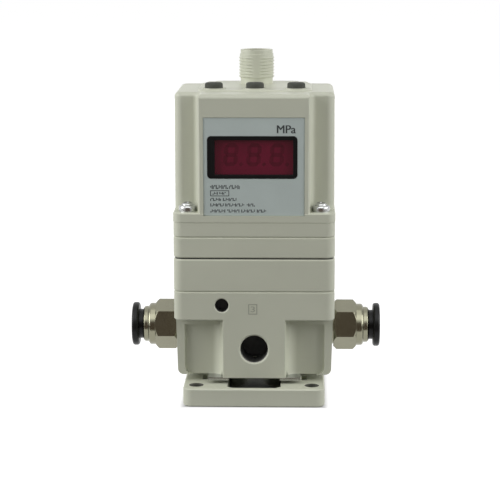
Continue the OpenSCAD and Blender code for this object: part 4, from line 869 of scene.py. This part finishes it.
class REGULATOR_OT_stage(RegulatorOperator, bpy.types.Operator):
    """Set up the pale floor, the soft light and the camera"""

    bl_idname = "regulator.stage"
    bl_label = "Stage"

    def build(self):
        self.floor()
        self.world()
        for lamp in LAMPS:
            self.lamp(*lamp)
        self.cards()
        self.camera()
        bpy.context.scene.view_settings.view_transform = "Standard"

    def seen(self, tree):
        """One where a camera, glossy or transmission ray asks, and zero for the light on the object."""
        path = tree.nodes.new("ShaderNodeLightPath")
        total = path.outputs["Is Camera Ray"]
        for name in ("Is Glossy Ray", "Is Transmission Ray"):
            node = tree.nodes.new("ShaderNodeMath")
            node.operation = "MAXIMUM"
            link(tree, total, node.inputs[0])
            link(tree, path.outputs[name], node.inputs[1])
            total = node.outputs[0]
        return total

    def floor(self):
        """Makes a grey floor that looks pale to the camera, with a painted shadow under the object where its
        glow is cut.
        """
        mat = bpy.data.materials.new("pale_floor")
        mat.use_nodes = True
        tree = mat.node_tree
        tree.nodes.remove(tree.nodes["Principled BSDF"])
        diffuse = tree.nodes.new("ShaderNodeBsdfDiffuse")
        diffuse.inputs["Color"].default_value = FLOOR_TONE
        glow = tree.nodes.new("ShaderNodeEmission")
        level = tree.nodes.new("ShaderNodeMath")
        level.operation = "MULTIPLY"
        link(tree, self.seen(tree), level.inputs[0])
        link(tree, self.glow_beside_painted_shadow(tree), level.inputs[1])
        link(tree, level.outputs[0], glow.inputs["Strength"])
        both = tree.nodes.new("ShaderNodeAddShader")
        link(tree, diffuse.outputs[0], both.inputs[0])
        link(tree, glow.outputs[0], both.inputs[1])
        link(tree, both.outputs[0], tree.nodes["Material Output"].inputs["Surface"])
        self.plane("floor", Matrix.Diagonal((FLOOR_HALF, FLOOR_HALF, 1, 1)), mat)

    def glow_beside_painted_shadow(self, tree):
        """The glow's strength, which fades to a painted shadow under the object."""
        place = tree.nodes.new("ShaderNodeTexCoord")
        parts = tree.nodes.new("ShaderNodeSeparateXYZ")
        link(tree, place.outputs["Object"], parts.inputs[0])
        outer = tree.nodes.new("ShaderNodeMath")
        outer.operation = "MAXIMUM"
        for i, half in enumerate(PAINTED_SHADOW_HALF):
            size = tree.nodes.new("ShaderNodeMath")
            size.operation = "ABSOLUTE"
            link(tree, parts.outputs[i], size.inputs[0])
            rest = tree.nodes.new("ShaderNodeMath")
            rest.operation = "SUBTRACT"
            rest.inputs[1].default_value = half
            link(tree, size.outputs[0], rest.inputs[0])
            link(tree, rest.outputs[0], outer.inputs[i])
        fade = tree.nodes.new("ShaderNodeMapRange")
        fade.inputs["From Min"].default_value = FADE_LOW
        fade.inputs["From Max"].default_value = FADE_HIGH
        fade.inputs["To Min"].default_value = GLOW_IN_PAINTED_SHADOW
        fade.inputs["To Max"].default_value = GLOW_BESIDE
        link(tree, outer.outputs[0], fade.inputs["Value"])
        return fade.outputs["Result"]

    def plane(self, name, matrix, mat):
        """Adds a flat stage piece."""
        bm = bmesh.new()
        bmesh.ops.create_grid(bm, x_segments=1, y_segments=1, size=1, matrix=matrix)
        mesh = bpy.data.meshes.new(name)
        bm.to_mesh(mesh)
        bm.free()
        mesh.materials.append(mat)
        obj = bpy.data.objects.new(name, mesh)
        bpy.context.scene.collection.objects.link(obj)
        return obj

    def world(self):
        """Makes a white world that lights the object only weakly."""
        world = bpy.data.worlds.new("studio")
        bpy.context.scene.world = world
        world.use_nodes = True
        tree = world.node_tree
        background = tree.nodes["Background"]
        background.inputs["Color"].default_value = (1, 1, 1, 1)
        level = tree.nodes.new("ShaderNodeMapRange")
        level.inputs["To Min"].default_value = WORLD_LIGHT
        level.inputs["To Max"].default_value = WORLD_SEEN
        link(tree, self.seen(tree), level.inputs["Value"])
        link(tree, level.outputs["Result"], background.inputs["Strength"])

    def lamp(self, name, place, watts, mirrored):
        """Adds a round lamp that faces the object."""
        data = bpy.data.lights.new(name, "AREA")
        data.shape = "DISK"
        data.size = LAMP_SIZE
        data.energy = watts
        obj = bpy.data.objects.new(name, data)
        bpy.context.scene.collection.objects.link(obj)
        obj.location = place
        obj.rotation_euler = (Vector(LAMP_TARGET) - Vector(place)).to_track_quat("-Z", "Y").to_euler()
        obj.visible_camera = False
        obj.visible_glossy = mirrored

    def cards(self):
        """Adds dark screens in front and a pale one above the camera, which only reflections see."""
        cards = {name: self.card_finish(name, *look) for name, look in CARDS.items()}
        for name, card, place, tilt, half in SCREENS:
            stand = Matrix.Translation(place) @ Matrix.Rotation(math.radians(tilt), 4, "X")
            obj = self.plane(name, stand @ Matrix.Diagonal((*half, 1, 1)), cards[card])
            obj.visible_camera = False
            obj.visible_diffuse = False
            obj.visible_shadow = False
            obj.visible_transmission = False

    def card_finish(self, name, tone, strength):
        """Makes an even glow."""
        mat = bpy.data.materials.new(name)
        mat.use_nodes = True
        tree = mat.node_tree
        tree.nodes.remove(tree.nodes["Principled BSDF"])
        glow = tree.nodes.new("ShaderNodeEmission")
        glow.inputs["Color"].default_value = (*tone, 1)
        glow.inputs["Strength"].default_value = strength
        link(tree, glow.outputs[0], tree.nodes["Material Output"].inputs["Surface"])
        return mat

    def camera(self):
        """Sets the camera that looks down at the front."""
        data = bpy.data.cameras.new("photo_camera")
        data.sensor_width = SENSOR_W
        data.lens = FOCAL_LENGTH
        data.clip_start = 0.01
        data.clip_end = 50
        obj = bpy.data.objects.new("photo_camera", data)
        bpy.context.scene.collection.objects.link(obj)
        pitch, yaw, roll = math.radians(PITCH_DOWN), math.radians(YAW_RIGHT), math.radians(ROLL)
        ahead = Vector((math.sin(yaw) * math.cos(pitch), math.cos(yaw) * math.cos(pitch), -math.sin(pitch)))
        turn = ahead.to_track_quat("-Z", "Y").to_matrix().to_4x4() @ Matrix.Rotation(roll, 4, "Z")
        obj.matrix_world = Matrix.Translation(CAMERA_PLACE) @ turn
        bpy.context.scene.camera = obj


OPERATORS = (
    REGULATOR_OT_bracket, REGULATOR_OT_layers, REGULATOR_OT_cover, REGULATOR_OT_label, REGULATOR_OT_display,
    REGULATOR_OT_keys, REGULATOR_OT_connector, REGULATOR_OT_fittings, REGULATOR_OT_screws,
    REGULATOR_OT_diaphragm, REGULATOR_OT_spring, REGULATOR_OT_inside, REGULATOR_OT_stage,
)


class REGULATOR_PT_panel(bpy.types.Panel):
    """Lists the regulator's pieces, sizes and colours"""

    bl_label = "Regulator"
    bl_idname = "REGULATOR_PT_panel"
    bl_space_type = "VIEW_3D"
    bl_region_type = "UI"
    bl_category = "Regulator"

    def draw(self, context):
        """Lists the operators and the properties."""
        for operator in OPERATORS:
            self.layout.operator(operator.bl_idname)
        for group in (context.scene.regulator_sizes, context.scene.regulator_colours):
            for name in group.__annotations__:
                self.layout.prop(group, name)


CLASSES = (RegulatorSizes, RegulatorColours, *OPERATORS, REGULATOR_PT_panel)


def register():
    """Registers the classes and their properties."""
    for cls in CLASSES:
        bpy.utils.register_class(cls)
    bpy.types.Scene.regulator_sizes = PointerProperty(type=RegulatorSizes)
    bpy.types.Scene.regulator_colours = PointerProperty(type=RegulatorColours)


def unregister():
    """Takes the properties and the classes out again."""
    del bpy.types.Scene.regulator_colours
    del bpy.types.Scene.regulator_sizes
    for cls in reversed(CLASSES):
        bpy.utils.unregister_class(cls)


def main():
    """Builds all the pieces in order."""
    register()
    for operator in OPERATORS:
        group, name = operator.bl_idname.split(".")
        getattr(getattr(bpy.ops, group), name)()


if __name__ == "__main__":
    main()
